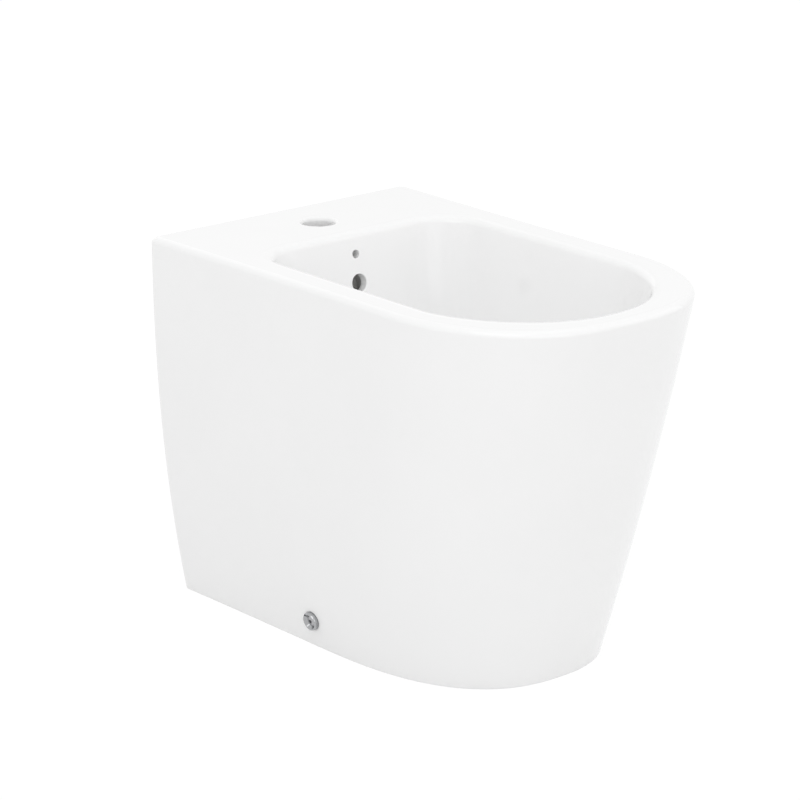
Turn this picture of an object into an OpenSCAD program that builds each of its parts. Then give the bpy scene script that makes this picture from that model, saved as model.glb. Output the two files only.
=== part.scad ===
// Floor standing bidet, back-to-wall type, in one glazed casting with its waste, trap and fixings.
// Millimetres. The back faces +Y, the front -Y, +Z is up. The origin is on the floor, on the
// axis of the waste, midway between the wall and the front of the rim.

/* [Rim and skirt] */
// Width across the rim at the wall
top_width = 346; // [340:1:352]
// Width across the rim halfway to the front, where the sides draw in
top_waist = 336.5; // [332:0.5:340]
// Depth from the wall to the front of the rim
depth = 546; // [540:2:552]
// Height of the rim above the floor
height = 400; // [396:1:406]
// Width across the foot at the wall
foot_width = 273.5; // [268:0.5:280]
// Width across the foot where its front curve begins
foot_waist = 269.5; // [264:0.5:274]
// Depth from the wall to the front of the foot
foot_depth = 449.5; // [440:0.5:456]
// How strongly the sides bulge between foot and rim, 1 is a straight taper
side_bulge = 2.3; // [1.6:0.1:2.6]
// Thickness of the skirt
skirt_wall = 13; // [11:0.5:14]
// Thickness of the rim and the deck
deck_wall = 14; // [12:0.5:15]
// Rounding of the outer rim edge
rim_round = 7; // [4:0.5:9]

/* [Basin] */
// Width of the basin's mouth
mouth_width = 260; // [255:1:262]
// Distance from the wall to the basin's mouth
mouth_back = 124; // [122:1:126]
// Distance from the wall to the front of the basin's mouth
mouth_front = 510; // [505:1:512]
// Rounding of the basin's rear corners
mouth_corner = 50; // [44:1:54]
// Rounding of the inner rim edge
lip_round = 15; // [11:0.5:17]
// Thickness of the basin's wall
basin_wall = 12; // [10:0.5:13]
// Depth of the basin from the rim to the seat of the waste
basin_depth = 168; // [164:1:170]
// Lean of the basin's wall from the vertical, in degrees
wall_lean = 11.3; // [10:0.1:12]
// How much faster the basin's front draws in than its sides
front_share = 1.5; // [1.4:0.05:1.7]
// Radius between the basin's wall and its floor
floor_round = 45; // [38:1:48]

/* [Holes] */
// Diameter of the tap hole
tap_hole = 35; // [33:0.5:37]
// Distance from the wall to the tap hole
tap_back = 66; // [62:1:68]
// Diameter of the overflow hole
overflow_hole = 19; // [16:0.5:21]
// Height of the overflow hole below the rim
overflow_drop = 53; // [51:1:56]
// Diameter of the small hole above the overflow
small_hole = 9; // [7:0.5:10]
// Height of the small hole below the rim
small_drop = 23; // [22:1:24]
// Diameter of the waste hole
waste_hole = 45; // [44:0.5:46]

/* [Fixings] */
// Distance from the wall to the side fixings
fixing_back = 225; // [215:1:235]
// Height of the side fixings above the floor
fixing_z = 30; // [26:1:36]
// Distance of each floor hole from the middle
floor_hole_x = 92; // [88:1:96]

/* [Waste and plug] */
// Travel of the plug
plug_travel = 8; // [6:0.5:8]
// Height of the outlet pipe's axis above the floor
outlet_z = 103; // [100:1:106]

/* [Hidden] */
$fn = 64;
back_y = depth / 2;

// Colours
glaze = [0.95, 0.95, 0.94];
chrome = [0.75, 0.76, 0.78];
steel = [0.62, 0.63, 0.65];
brass = [0.78, 0.66, 0.38];
black_rubber = [0.12, 0.12, 0.12];
white_plastic = [0.9, 0.9, 0.88];
grey_plastic = [0.55, 0.56, 0.58];

// Points along half an outline: the back, the rear corner, the side and the front curve
back_steps = 3;
corner_steps = 6;
side_steps = 5;
nose_steps = 18;

// Front curves: where they begin from the wall, and how full they are across and along
foot_nose = 216;
top_nose = 386;
foot_fullness = [2.44, 2.89];
top_fullness = [2.8, 1.78];
mouth_nose = 394;
mouth_fullness = [2.2, 1.6];
skirt_corner = 6;
foot_chamfer = 1.5;

// Waste: the seat of its flange, the recess round it and the boss under it
seat_z = height - basin_depth;
recess_r = 34;
recess_step = 3;
recess_depth = 5;
boss_r = 40;
boss_bottom = seat_z - 44;
floor_fall = 9.5;
floor_lean = 18;
floor_curve = 1.25;

// Overflow passage, cast behind the basin's rear wall and led into the boss
passage_width = 28;
passage_near = 10;
passage_far = 23;
housing_width = 46;
housing_near = 5;
housing_far = 31;
passage_top = overflow_drop - 10;
housing_top = overflow_drop - 19;
chamber_r = 30;
chamber_top = seat_z - 10;
chamber_bottom = seat_z - 26;

// Opening in the back for the pipes
service_width = 200;
service_height = 322;
service_corner = 30;

function mix(a, b, t) = a + (b - a) * t;
function ring_at(outline, z) = [for (p = outline) [p.x, p.y, z]];

// A D-shaped outline with its flat side towards the wall
function d_outline(wall_y, half_back, half_side, straight, reach, corner, fullness) =
    let (
        flat = [for (i = [0 : back_steps - 1]) [(half_back - corner) * i / back_steps, 0]],
        turn = [for (i = [0 : corner_steps]) let (a = 90 * i / corner_steps)
            [half_back - corner + corner * sin(a), corner - corner * cos(a)]],
        side = [for (i = [1 : side_steps]) let (d = mix(corner, straight, i / side_steps))
            [mix(half_side, half_back, pow(1 - d / straight, 2)), d]],
        nose = [for (i = [1 : nose_steps - 1]) let (a = 90 * i / nose_steps)
            [half_side * pow(cos(a), 2 / fullness[0]),
             mix(straight, reach, pow(sin(a), 2 / fullness[1]))]],
        half = concat(flat, turn, side, nose),
        right = [for (p = half) [p.x, wall_y - p.y]],
        left = [for (i = [len(half) - 1 : -1 : 1]) [-half[i].x, wall_y - half[i].y]]
    )
    concat(right, [[0, wall_y - reach]], left);

// The skirt's outline at a height, drawn in by an inset. Its front tapers straight.
skirt_top = height - rim_round;
function side_rise(z) = 1 - pow(1 - z / height, side_bulge);
function skirt_outline(z, inset) =
    let (u = z / skirt_top, s = side_rise(z))
    d_outline(
        back_y - inset,
        mix(foot_width, top_width, s) / 2 - inset,
        mix(foot_waist, top_waist, s) / 2 - inset,
        mix(foot_nose, top_nose, u) - inset,
        mix(foot_depth, depth, u) - 2 * inset,
        skirt_corner,
        [for (i = [0, 1]) mix(foot_fullness[i], top_fullness[i], u)]
    );
function skirt_ring(z, inset) = ring_at(skirt_outline(z, inset), z);

// The basin's outline, drawn in from its mouth by an inset and let out by a wall's thickness
function basin_outline(inset, wall = 0) =
    let (side_inset = inset - wall, front_inset = front_share * inset - wall)
    d_outline(
        back_y - mouth_back - side_inset,
        mouth_width / 2 - side_inset,
        mouth_width / 2 - side_inset,
        mouth_nose - mouth_back - side_inset,
        mouth_front - mouth_back - side_inset - front_inset,
        max(mouth_corner - side_inset / 4, mouth_corner / 2),
        mouth_fullness
    );
function basin_ring(at) = ring_at(basin_outline(at[0], at[1]), at[2]);

// The basin's section, as inset, share of the wall's thickness and height. Its wall leans in,
// and an arc of floor_round joins it to the floor. "out" is the distance behind the glaze.
wall_slope = tan(wall_lean);
floor_z = seat_z + recess_depth + floor_fall;
arc_z = floor_z + floor_round * cos(floor_lean);
arc_inset = floor_round * cos(wall_lean)
    + wall_slope * (height - arc_z + floor_round * sin(wall_lean));
function wall_at(z, out) = [wall_slope * (height - z), out / cos(wall_lean), z];
function arc_at(angle, out) = [
    arc_inset - floor_round * cos(angle),
    out * cos(angle),
    arc_z - (floor_round + out) * sin(angle)
];
function arc_points(steps, out) =
    [for (i = [0 : steps]) arc_at(mix(wall_lean, 90 - floor_lean, i / steps), out)];

// Between the foot of the arc and the waste, the outline turns into a circle and levels out
function circle_like(outline, r) = [for (p = outline) p * r / norm(p)];
function floor_ring(t, out, r) =
    let (
        end = arc_at(90 - floor_lean, out),
        outer = basin_outline(end[0], end[1]),
        inner = circle_like(outer, r)
    )
    ring_at(
        [for (i = [0 : len(outer) - 1]) mix(inner[i], outer[i], t)],
        mix(seat_z + recess_depth - out, end[2], pow(t, floor_curve))
    );
function disc_ring(r, z) = ring_at(circle_like(basin_outline(0), r), z);

// Rounded edges of the rim
lip_inset = wall_slope * lip_round * (1 - sin(wall_lean)) - lip_round * cos(wall_lean);
function lip_at(angle) =
    [lip_inset + lip_round * sin(angle), 0, height - lip_round + lip_round * cos(angle)];
function rim_ring(angle) =
    ring_at(
        skirt_outline(skirt_top, rim_round * (1 - cos(angle))),
        skirt_top + rim_round * sin(angle)
    );

// One closed skin, from the basin's floor over the rim and down the skirt,
// then up inside the skirt and in under the basin to the boss of the waste
edge_steps = 5;
arc_steps = 7;
skirt_steps = 10;
floor_steps = 4;
wall_drops = [80, 46];
hidden_drop = 60;
skirt_levels = [for (i = [1 : skirt_steps - 1]) skirt_top * i / skirt_steps];
skirt_inner_top = height - deck_wall;
glazed_rings = concat(
    [disc_ring(recess_r, seat_z), disc_ring(recess_r + recess_step, seat_z + recess_depth)],
    [for (i = [1 : floor_steps - 1]) floor_ring(i / floor_steps, 0, recess_r + recess_step)],
    [for (i = [arc_steps : -1 : 0]) basin_ring(arc_points(arc_steps, 0)[i])],
    [for (drop = wall_drops) basin_ring(wall_at(height - drop, 0))],
    [for (i = [edge_steps : -1 : 0]) basin_ring(lip_at((90 - wall_lean) * i / edge_steps))],
    [for (i = [edge_steps : -1 : 0]) rim_ring(90 * i / edge_steps)],
    [for (i = [skirt_steps - 2 : -1 : 0]) skirt_ring(skirt_levels[i], 0)],
    [skirt_ring(foot_chamfer, 0)]
);
hidden_rings = concat(
    [ring_at(skirt_outline(0, foot_chamfer), 0)],
    [for (z = concat([0], skirt_levels, [skirt_inner_top])) skirt_ring(z, skirt_wall)],
    [for (z = [skirt_inner_top, height - hidden_drop]) basin_ring(wall_at(z, basin_wall))],
    [for (p = arc_points(arc_steps, basin_wall)) basin_ring(p)],
    [for (i = [floor_steps - 1 : -1 : 1]) floor_ring(i / floor_steps, basin_wall, boss_r)],
    [disc_ring(boss_r, seat_z + recess_depth - basin_wall), disc_ring(boss_r, boss_bottom)]
);

module skin(rings) {
    n = len(rings[0]);
    last = len(rings) - 1;
    polyhedron(
        points = [for (ring = rings) each ring],
        faces = concat(
            [[for (i = [0 : n - 1]) i]],
            [for (r = [0 : last - 1], i = [0 : n - 1])
                let (a = r * n + i, b = r * n + (i + 1) % n) each [[a, b + n, b], [a, a + n, b + n]]],
            [[for (i = [n - 1 : -1 : 0]) last * n + i]]
        )
    );
}

// A strip behind the basin's rear wall, from a height down to the boss
function strip_line(top, out) = concat(
    [wall_at(height - top, out)],
    arc_points(arc_steps, out)
);
function strip_points(top, near, far) =
    let (
        meet_y = boss_r + 4,
        end_y = boss_r - 14,
        meet_z = seat_z + recess_depth,
        end_z = chamber_top + passage_near,
        line = function (out) concat(
            [for (p = strip_line(top, out)) [back_y - mouth_back - p[0] + p[1], p[2]]],
            [[meet_y, meet_z - out], [end_y, end_z - out]]
        )
    )
    concat(line(near), [for (i = [len(line(far)) - 1 : -1 : 0]) line(far)[i]]);
module strip(width, top, near, far) {
    rotate([90, 0, 90])
        linear_extrude(width, center = true)
            polygon(strip_points(top, near, far));
}

// A hole square through the basin's rear wall
module rear_wall_hole(drop, d, length) {
    at = wall_at(height - drop, 0);
    translate([0, back_y - mouth_back - at[0], at[2]])
        rotate([-90 - wall_lean, 0, 0])
            translate([0, 0, -basin_wall / 2])
                cylinder(d = d, h = length + basin_wall / 2);
}

// A hole down through a level face, with a rounded mouth
module rounded_hole(d, length, round) {
    translate([0, 0, -length])
        cylinder(d = d, h = length + 1);
    rotate_extrude()
        difference() {
            translate([0, -round])
                square([d / 2 + round, round + 1]);
            translate([d / 2 + round, -round])
                circle(round);
        }
}

// Places a piece on the outer face of the skirt at a side fixing, its own +Z pointing outwards
fixing_y = back_y - fixing_back;
fixing_x = mix(foot_waist, top_waist, side_rise(fixing_z)) / 2;
fixing_lean = atan((top_waist - foot_waist) / 2 * side_bulge
    * pow(1 - fixing_z / height, side_bulge - 1) / height);
module on_each_side() {
    for (side = [0, 1])
        mirror([side, 0, 0])
            children();
}
module at_fixing() {
    on_each_side()
        translate([fixing_x, fixing_y, fixing_z])
            rotate([0, 90 + fixing_lean, 0])
                children();
}

// Ceramic body
tap_round = 5;
fixing_hole_r = 6.2;
spot_r = 10.6;
spot_depth = 0.6;
module ceramic_body() {
    color(glaze)
        difference() {
            union() {
                skin(concat(glazed_rings, hidden_rings));
                strip(housing_width, housing_top, housing_near, housing_far);
            }
            strip(passage_width, passage_top, passage_near, passage_far);
            rear_wall_hole(overflow_drop, overflow_hole, passage_near + 4);
            rear_wall_hole(small_drop, small_hole, basin_wall + 6);
            translate([0, 0, boss_bottom - 1])
                cylinder(d = waste_hole, h = seat_z - boss_bottom + 2);
            translate([0, 0, chamber_bottom])
                cylinder(r = chamber_r, h = chamber_top - chamber_bottom);
            translate([0, back_y - tap_back, height])
                rounded_hole(tap_hole, deck_wall + 2, tap_round);
            at_fixing() {
                translate([0, 0, -skirt_wall - 8])
                    cylinder(r = fixing_hole_r, h = skirt_wall + 12);
                translate([0, 0, -spot_depth])
                    cylinder(r = spot_r, h = 6);
            }
            service_opening();
        }
}
module service_opening() {
    translate([0, back_y + 1, 0])
        rotate([90, 0, 0])
            linear_extrude(skirt_wall + 2) {
                translate([-service_width / 2, -1])
                    square([service_width, service_height - service_corner + 1]);
                translate([service_corner - service_width / 2, 0])
                    square([service_width - 2 * service_corner, service_height]);
                for (side = [-1, 1])
                    translate([side * (service_width / 2 - service_corner),
                        service_height - service_corner])
                        circle(service_corner);
            }
}

// Waste: flange, slotted tail and spider
flange_r = 32;
seal_t = 2;
flange_z = seat_z + seal_t;
flange_top = flange_z + 3;
dish_r = 24;
dish_z = flange_z + 2.4;
collar_r = waste_hole / 2 - 0.3;
collar_height = 6;
tail_r = 20.9;
tail_bore = 18.2;
neck_z = flange_z - 2;
tail_bottom = seat_z - 80;
slot_z = (chamber_top + chamber_bottom) / 2;
slot_height = 11;
slot_width = 16;
hub_r = 10.5;
hub_top = seat_z - 36;
hub_height = 8;
arm_width = 2.6;
arm_count = 4;
cartridge_r = 7.5;
module waste_body() {
    color(chrome) {
        difference() {
            rotate_extrude()
                polygon([
                    [tail_bore, tail_bottom], [tail_r, tail_bottom],
                    [tail_r, flange_z - collar_height - 1], [collar_r, flange_z - collar_height],
                    [collar_r, flange_z], [flange_r - 0.6, flange_z], [flange_r, flange_z + 0.6],
                    [flange_r, flange_z + 1.4], [flange_r - 2, flange_top],
                    [flange_r - 5, flange_top], [dish_r, dish_z], [tail_bore, neck_z]
                ]);
            for (i = [0 : 3])
                rotate(45 + 90 * i)
                    translate([0, -slot_width / 2, slot_z - slot_height / 2])
                        cube([tail_r + 1, slot_width, slot_height]);
        }
        translate([0, 0, hub_top - hub_height])
            difference() {
                union() {
                    cylinder(r = hub_r, h = hub_height);
                    for (i = [0 : arm_count - 1])
                        rotate(i * 360 / arm_count)
                            translate([cartridge_r + 1, -arm_width / 2, 0])
                                cube([tail_bore + 1 - cartridge_r - 1, arm_width, hub_height]);
                }
                translate([0, 0, -1])
                    cylinder(r = cartridge_r, h = hub_height + 2);
            }
    }
}

module washer(outer, inner, z, thickness) {
    translate([0, 0, z])
        difference() {
            cylinder(r = outer, h = thickness);
            translate([0, 0, -1])
                cylinder(r = inner, h = thickness + 2);
        }
}
module waste_seal() {
    color(black_rubber)
        washer(flange_r - 1, waste_hole / 2, seat_z, seal_t);
}

// Under the boss: cone seal, slip washer and back nut, each on the tail
thread_gap = 0.05;
cone_height = 8;
cone_rise = 5;
slip_t = 2;
nut_height = 10;
nut_across = 52;
module waste_cone_seal() {
    color(black_rubber)
        rotate_extrude()
            polygon([
                [tail_r + thread_gap, boss_bottom - cone_height],
                [tail_r + 6, boss_bottom - cone_height],
                [tail_r + 6, boss_bottom],
                [waste_hole / 2 - 0.1, boss_bottom],
                [tail_r + 0.7, boss_bottom + cone_rise],
                [tail_r + thread_gap, boss_bottom + cone_rise]
            ]);
}
module waste_slip_washer() {
    color(white_plastic)
        washer(tail_r + 6.5, tail_r + thread_gap, boss_bottom - cone_height - slip_t, slip_t);
}
module waste_nut() {
    color(brass)
        translate([0, 0, boss_bottom - cone_height - slip_t - nut_height])
            difference() {
                intersection() {
                    cylinder(d = nut_across / cos(30), h = nut_height, $fn = 6);
                    cylinder(r1 = nut_across / 2 + 5, r2 = nut_across / 2 + 1.5, h = nut_height);
                }
                translate([0, 0, -1])
                    cylinder(r = tail_r + thread_gap, h = nut_height + 2);
            }
}

// Plug and click cartridge, drawn with the plug up
running_gap = 0.06;
stem_r = 3;
piston_r = 5.2;
cartridge_bore = piston_r + running_gap;
cartridge_top = seat_z - 12;
cartridge_floor = seat_z - 46;
cartridge_collar_r = 9;
cartridge_neck = 3;
piston_top = cartridge_top - cartridge_neck - 0.3;
piston_height = 5;
spring_seat = cartridge_floor + 2;
cap_z = flange_top + 0.4 + plug_travel;
cap_r = 27;
cap_edge = 1.6;
cap_crown = 5;
plug_boss_r = 19.3;
plug_boss_height = 4;
seal_r = 20.3;
groove_r = 17.8;
module plug_cartridge() {
    color(white_plastic)
        rotate_extrude()
            polygon([
                [0, cartridge_floor], [cartridge_r - 1, cartridge_floor],
                [cartridge_r - thread_gap, cartridge_floor + 1], [cartridge_r - thread_gap, hub_top],
                [cartridge_collar_r, hub_top], [cartridge_collar_r, hub_top + 3],
                [cartridge_r, hub_top + 3], [cartridge_r, cartridge_top - 1],
                [cartridge_r - 1, cartridge_top], [stem_r + running_gap, cartridge_top],
                [stem_r + running_gap, cartridge_top - cartridge_neck],
                [cartridge_bore, cartridge_top - cartridge_neck],
                [cartridge_bore, spring_seat], [0, spring_seat]
            ]);
}
module plug_stem() {
    color(steel)
        rotate_extrude()
            polygon([
                [0, piston_top - piston_height], [piston_r - 0.6, piston_top - piston_height],
                [piston_r, piston_top - piston_height + 0.6], [piston_r, piston_top],
                [stem_r, piston_top], [stem_r, cap_z - 0.5], [0, cap_z - 0.5]
            ]);
}

// The spring: a round wire wound between the cartridge's floor and the piston
wire_r = 0.5;
coil_r = 4.3;
coil_turns = 7;
coil_steps = 10;
wire_sides = 6;
module plug_spring() {
    bottom = spring_seat + wire_r;
    climb = piston_top - piston_height - spring_seat - 2 * wire_r;
    steps = coil_turns * coil_steps;
    rings = [for (i = [0 : steps])
        let (a = 360 * i / coil_steps, z = bottom + climb * i / steps)
        [for (j = [0 : wire_sides - 1])
            let (b = 360 * j / wire_sides, r = coil_r + wire_r * cos(b))
            [r * cos(a), r * sin(a), z + wire_r * sin(b)]]];
    color(steel)
        skin(rings);
}
module plug_cap() {
    dome = [for (i = [0 : 8]) let (a = 90 * i / 8)
        [cap_r * cos(a), cap_z + cap_edge + (cap_crown - cap_edge) * sin(a)]];
    color(chrome)
        rotate_extrude()
            polygon(concat(
                [[stem_r + 0.02, cap_z - plug_boss_height], [plug_boss_r, cap_z - plug_boss_height],
                 [plug_boss_r, cap_z - 3.4], [groove_r, cap_z - 3.4], [groove_r, cap_z - 0.8],
                 [plug_boss_r, cap_z - 0.8], [plug_boss_r, cap_z], [cap_r - 0.6, cap_z],
                 [cap_r, cap_z + 0.6]],
                dome,
                [[0, cap_z - 0.5], [stem_r + 0.02, cap_z - 0.5]]
            ));
}
module plug_seal() {
    color(black_rubber)
        washer(seal_r, groove_r + 0.02, cap_z - 3.35, 2.5);
}

// Bottle trap
grip_count = 12;
module grip_ring(r, z, h) {
    difference() {
        translate([0, 0, z])
            cylinder(r = r, h = h);
        for (i = [0 : grip_count - 1])
            rotate(360 * i / grip_count)
                translate([r + 1.6, 0, z - 1])
                    cylinder(r = 3, h = h + 2);
    }
}
union_r = 27;
pipe_r = 16;
pipe_bore = 14.4;
washer_t = 2;
lip_t = 3;
dip_flange_r = 20.5;
union_bottom = tail_bottom - 2 * washer_t - lip_t;
union_height = 19;
module trap_washer() {
    color(black_rubber)
        washer(dip_flange_r, pipe_bore, tail_bottom - washer_t, washer_t);
}
module trap_nut() {
    color(white_plastic)
        difference() {
            grip_ring(union_r, union_bottom, union_height);
            translate([0, 0, union_bottom - 1])
                cylinder(r = pipe_r + 0.3, h = union_height + 2);
            translate([0, 0, union_bottom + lip_t])
                cylinder(r = tail_r + thread_gap, h = union_height);
        }
}
dip_bottom = 32;
module trap_dip_tube() {
    top = tail_bottom - washer_t;
    color(white_plastic)
        rotate_extrude()
            polygon([
                [pipe_bore, dip_bottom], [pipe_r, dip_bottom], [pipe_r, top - washer_t],
                [dip_flange_r, top - washer_t], [dip_flange_r, top], [pipe_bore, top]
            ]);
}

neck_r = 20;
neck_bore = pipe_r + 0.3;
neck_top = union_bottom - 8;
bottle_r = 30;
bottle_bore = 27;
bottle_bottom = 70;
bottle_top = neck_top - 17;
branch_r = 18.6;
branch_end = 54;
socket_length = 14;
slip_ring = 3;
slip_nut_r = 26;
module trap_body() {
    color(white_plastic)
        difference() {
            union() {
                rotate_extrude()
                    polygon([
                        [0, bottle_bottom], [bottle_r, bottle_bottom], [bottle_r, bottle_top],
                        [neck_r, bottle_top + 5], [neck_r, neck_top], [0, neck_top]
                    ]);
                translate([0, 0, outlet_z])
                    rotate([-90, 0, 0])
                        cylinder(r = branch_r, h = branch_end);
            }
            rotate_extrude()
                polygon([
                    [0, bottle_bottom - 1], [bottle_bore, bottle_bottom - 1],
                    [bottle_bore, bottle_top - 1.6], [neck_bore, bottle_top + 3.6],
                    [neck_bore, neck_top + 1], [0, neck_top + 1]
                ]);
            translate([0, 0, outlet_z])
                rotate([-90, 0, 0])
                    cylinder(r = pipe_bore, h = branch_end + 1);
            translate([0, branch_end - socket_length, outlet_z])
                rotate([-90, 0, 0])
                    cylinder(r = pipe_r + 0.2, h = socket_length + 1);
        }
}
module trap_slip_washer() {
    color(black_rubber)
        washer(neck_r - 0.5, pipe_r + thread_gap, neck_top, slip_ring);
}
module trap_slip_nut() {
    bottom = neck_top - 12;
    height_over = 12 + slip_ring + lip_t;
    color(white_plastic)
        difference() {
            grip_ring(slip_nut_r, bottom, height_over);
            translate([0, 0, bottom - 1])
                cylinder(r = neck_r + thread_gap, h = height_over + 1 - lip_t);
            translate([0, 0, bottom])
                cylinder(r = pipe_r + 0.3, h = height_over + 1);
        }
}
cup_r = 33;
cup_bottom = 20;
cup_floor = 3;
cup_rim = 82;
cup_seal_t = 2;
module trap_cup_seal() {
    color(black_rubber)
        washer(bottle_r, bottle_bore + 0.4, bottle_bottom - cup_seal_t, cup_seal_t);
}
module trap_cup() {
    ledge = bottle_bottom - cup_seal_t;
    color(white_plastic)
        difference() {
            union() {
                rotate_extrude()
                    polygon([
                        [0, cup_bottom], [cup_r - 9, cup_bottom], [cup_r - 3, cup_bottom + 6],
                        [cup_r - 3, ledge - 6], [cup_r, ledge - 3], [cup_r, cup_rim],
                        [0, cup_rim]
                    ]);
                grip_ring(cup_r - 0.4, cup_bottom + 8, 16);
            }
            rotate_extrude()
                polygon([
                    [0, cup_bottom + cup_floor], [cup_r - 11, cup_bottom + cup_floor],
                    [bottle_bore, cup_bottom + 10], [bottle_bore, ledge],
                    [bottle_r + thread_gap, ledge], [bottle_r + thread_gap, cup_rim + 1],
                    [0, cup_rim + 1]
                ]);
        }
}

// Outlet: pipe, tapered washer and nut on the branch, along +Y at the outlet's height
outlet_end = back_y;
bead_y = back_y - 62;
module along_outlet(y) {
    translate([0, y, outlet_z])
        rotate([-90, 0, 0])
            children();
}
outlet_washer_t = 4;
outlet_nut_r = 24;
module trap_outlet_nut() {
    total = socket_length + outlet_washer_t + lip_t;
    color(white_plastic)
        along_outlet(branch_end - socket_length)
            difference() {
                grip_ring(outlet_nut_r, 0, total);
                translate([0, 0, -1])
                    cylinder(r = branch_r + thread_gap, h = total + 1 - lip_t);
                cylinder(r = pipe_r + 0.3, h = total + 1);
            }
}
module trap_outlet_washer() {
    color(black_rubber)
        along_outlet(branch_end)
            washer(branch_r - 0.2, pipe_r + thread_gap, 0, outlet_washer_t);
}
module trap_outlet_pipe() {
    start = branch_end - socket_length + 1;
    color(white_plastic)
        along_outlet(start)
            rotate_extrude()
                polygon([
                    [pipe_bore, 0], [pipe_r, 0], [pipe_r, bead_y - start],
                    [pipe_r + 1, bead_y - start + 1], [pipe_r, bead_y - start + 2],
                    [pipe_r, outlet_end - start], [pipe_bore, outlet_end - start]
                ]);
}

// Side fixings. Each bracket's leg leans with the skirt, and its foot lies on the floor
leg_t = 7;
leg_height = 52;
bracket_width = 40;
bracket_gap = 1;
bracket_foot_t = 7;
bracket_end = 76;
gusset_t = 5;
floor_hole_r = 3.6;
screw_r = 3;
screw_hole_r = 3.3;
m6_nut_t = 5;
m6_nut_across = 10;
cup_washer_r = 10;
cup_recess_r = 6.4;
cup_floor_z = 0.9;
cup_proud = 3.7;
head_r = 5.3;
head_height = 2.5;
socket_across = 4;
function leg_x(z) = fixing_x - skirt_wall - bracket_gap + (z - fixing_z) * tan(fixing_lean);
leg_outer = -(skirt_wall + bracket_gap) * cos(fixing_lean);
leg_inner = leg_outer - leg_t * cos(fixing_lean);
module fixing_brackets() {
    profile = [
        [bracket_end, 0], [leg_x(0), 0], [leg_x(leg_height), leg_height],
        [leg_x(leg_height) - leg_t, leg_height], [leg_x(bracket_foot_t) - leg_t, bracket_foot_t],
        [bracket_end, bracket_foot_t]
    ];
    gusset = [
        [leg_x(bracket_foot_t) - leg_t - 26, bracket_foot_t - 1],
        [leg_x(0) - leg_t + 2, bracket_foot_t - 1],
        [leg_x(leg_height - 6) - leg_t + 1, leg_height - 6],
        [leg_x(leg_height - 6) - leg_t - 2, leg_height - 6]
    ];
    color(grey_plastic)
        difference() {
            on_each_side()
                translate([0, fixing_y, 0])
                    rotate([90, 0, 0]) {
                        linear_extrude(bracket_width, center = true)
                            polygon(profile);
                        for (z = [-1, 1])
                            translate([0, 0, z * (bracket_width - gusset_t) / 2])
                                linear_extrude(gusset_t, center = true)
                                    polygon(gusset);
                    }
            on_each_side()
                translate([floor_hole_x, fixing_y, -1])
                    cylinder(r = floor_hole_r, h = bracket_foot_t + 2);
            at_fixing()
                translate([0, 0, leg_inner - 4])
                    cylinder(r = screw_hole_r, h = leg_t + 8);
        }
}
module fixing_sleeves() {
    color(white_plastic)
        at_fixing()
            washer(fixing_hole_r - 0.1, screw_hole_r, leg_outer, -leg_outer - spot_depth);
}
module fixing_nuts() {
    color(steel)
        at_fixing()
            translate([0, 0, leg_inner - m6_nut_t])
                difference() {
                    cylinder(d = m6_nut_across / cos(30), h = m6_nut_t, $fn = 6);
                    translate([0, 0, -1])
                        cylinder(r = screw_r + thread_gap, h = m6_nut_t + 2);
                }
}
module fixing_cups() {
    edge = [for (i = [0 : 6]) let (a = 90 * i / 6)
        [cup_washer_r - 2.4 + 2.4 * cos(a), cup_proud - 2.4 + 2.4 * sin(a)]];
    color(chrome)
        at_fixing()
            rotate_extrude()
                polygon(concat(
                    [[screw_hole_r, -spot_depth], [cup_washer_r, -spot_depth]],
                    edge,
                    [[cup_recess_r + 0.5, cup_proud - 0.5], [cup_recess_r, cup_floor_z + 0.4],
                     [cup_recess_r - 0.4, cup_floor_z], [screw_hole_r, cup_floor_z]]
                ));
}
module fixing_screws() {
    end = leg_inner - m6_nut_t - 3;
    color(steel)
        at_fixing()
            difference() {
                rotate_extrude()
                    polygon([
                        [0, end], [screw_r - 0.8, end], [screw_r, end + 0.8],
                        [screw_r, cup_floor_z], [head_r, cup_floor_z],
                        [head_r, cup_floor_z + head_height - 0.8],
                        [head_r - 1.2, cup_floor_z + head_height], [0, cup_floor_z + head_height]
                    ]);
                translate([0, 0, cup_floor_z + 0.6])
                    cylinder(d = socket_across / cos(30), h = head_height, $fn = 6);
            }
}

ceramic_body();
waste_seal();
waste_body();
waste_cone_seal();
waste_slip_washer();
waste_nut();
plug_cartridge();
plug_stem();
plug_spring();
plug_cap();
plug_seal();
trap_nut();
trap_washer();
trap_dip_tube();
trap_slip_nut();
trap_slip_washer();
trap_body();
trap_cup_seal();
trap_cup();
trap_outlet_nut();
trap_outlet_washer();
trap_outlet_pipe();
fixing_brackets();
fixing_nuts();
fixing_sleeves();
fixing_cups();
fixing_screws();
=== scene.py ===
import math

import bmesh
import bpy
from bpy.props import FloatProperty, FloatVectorProperty, IntProperty, PointerProperty
from mathutils import Matrix, Vector


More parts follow.
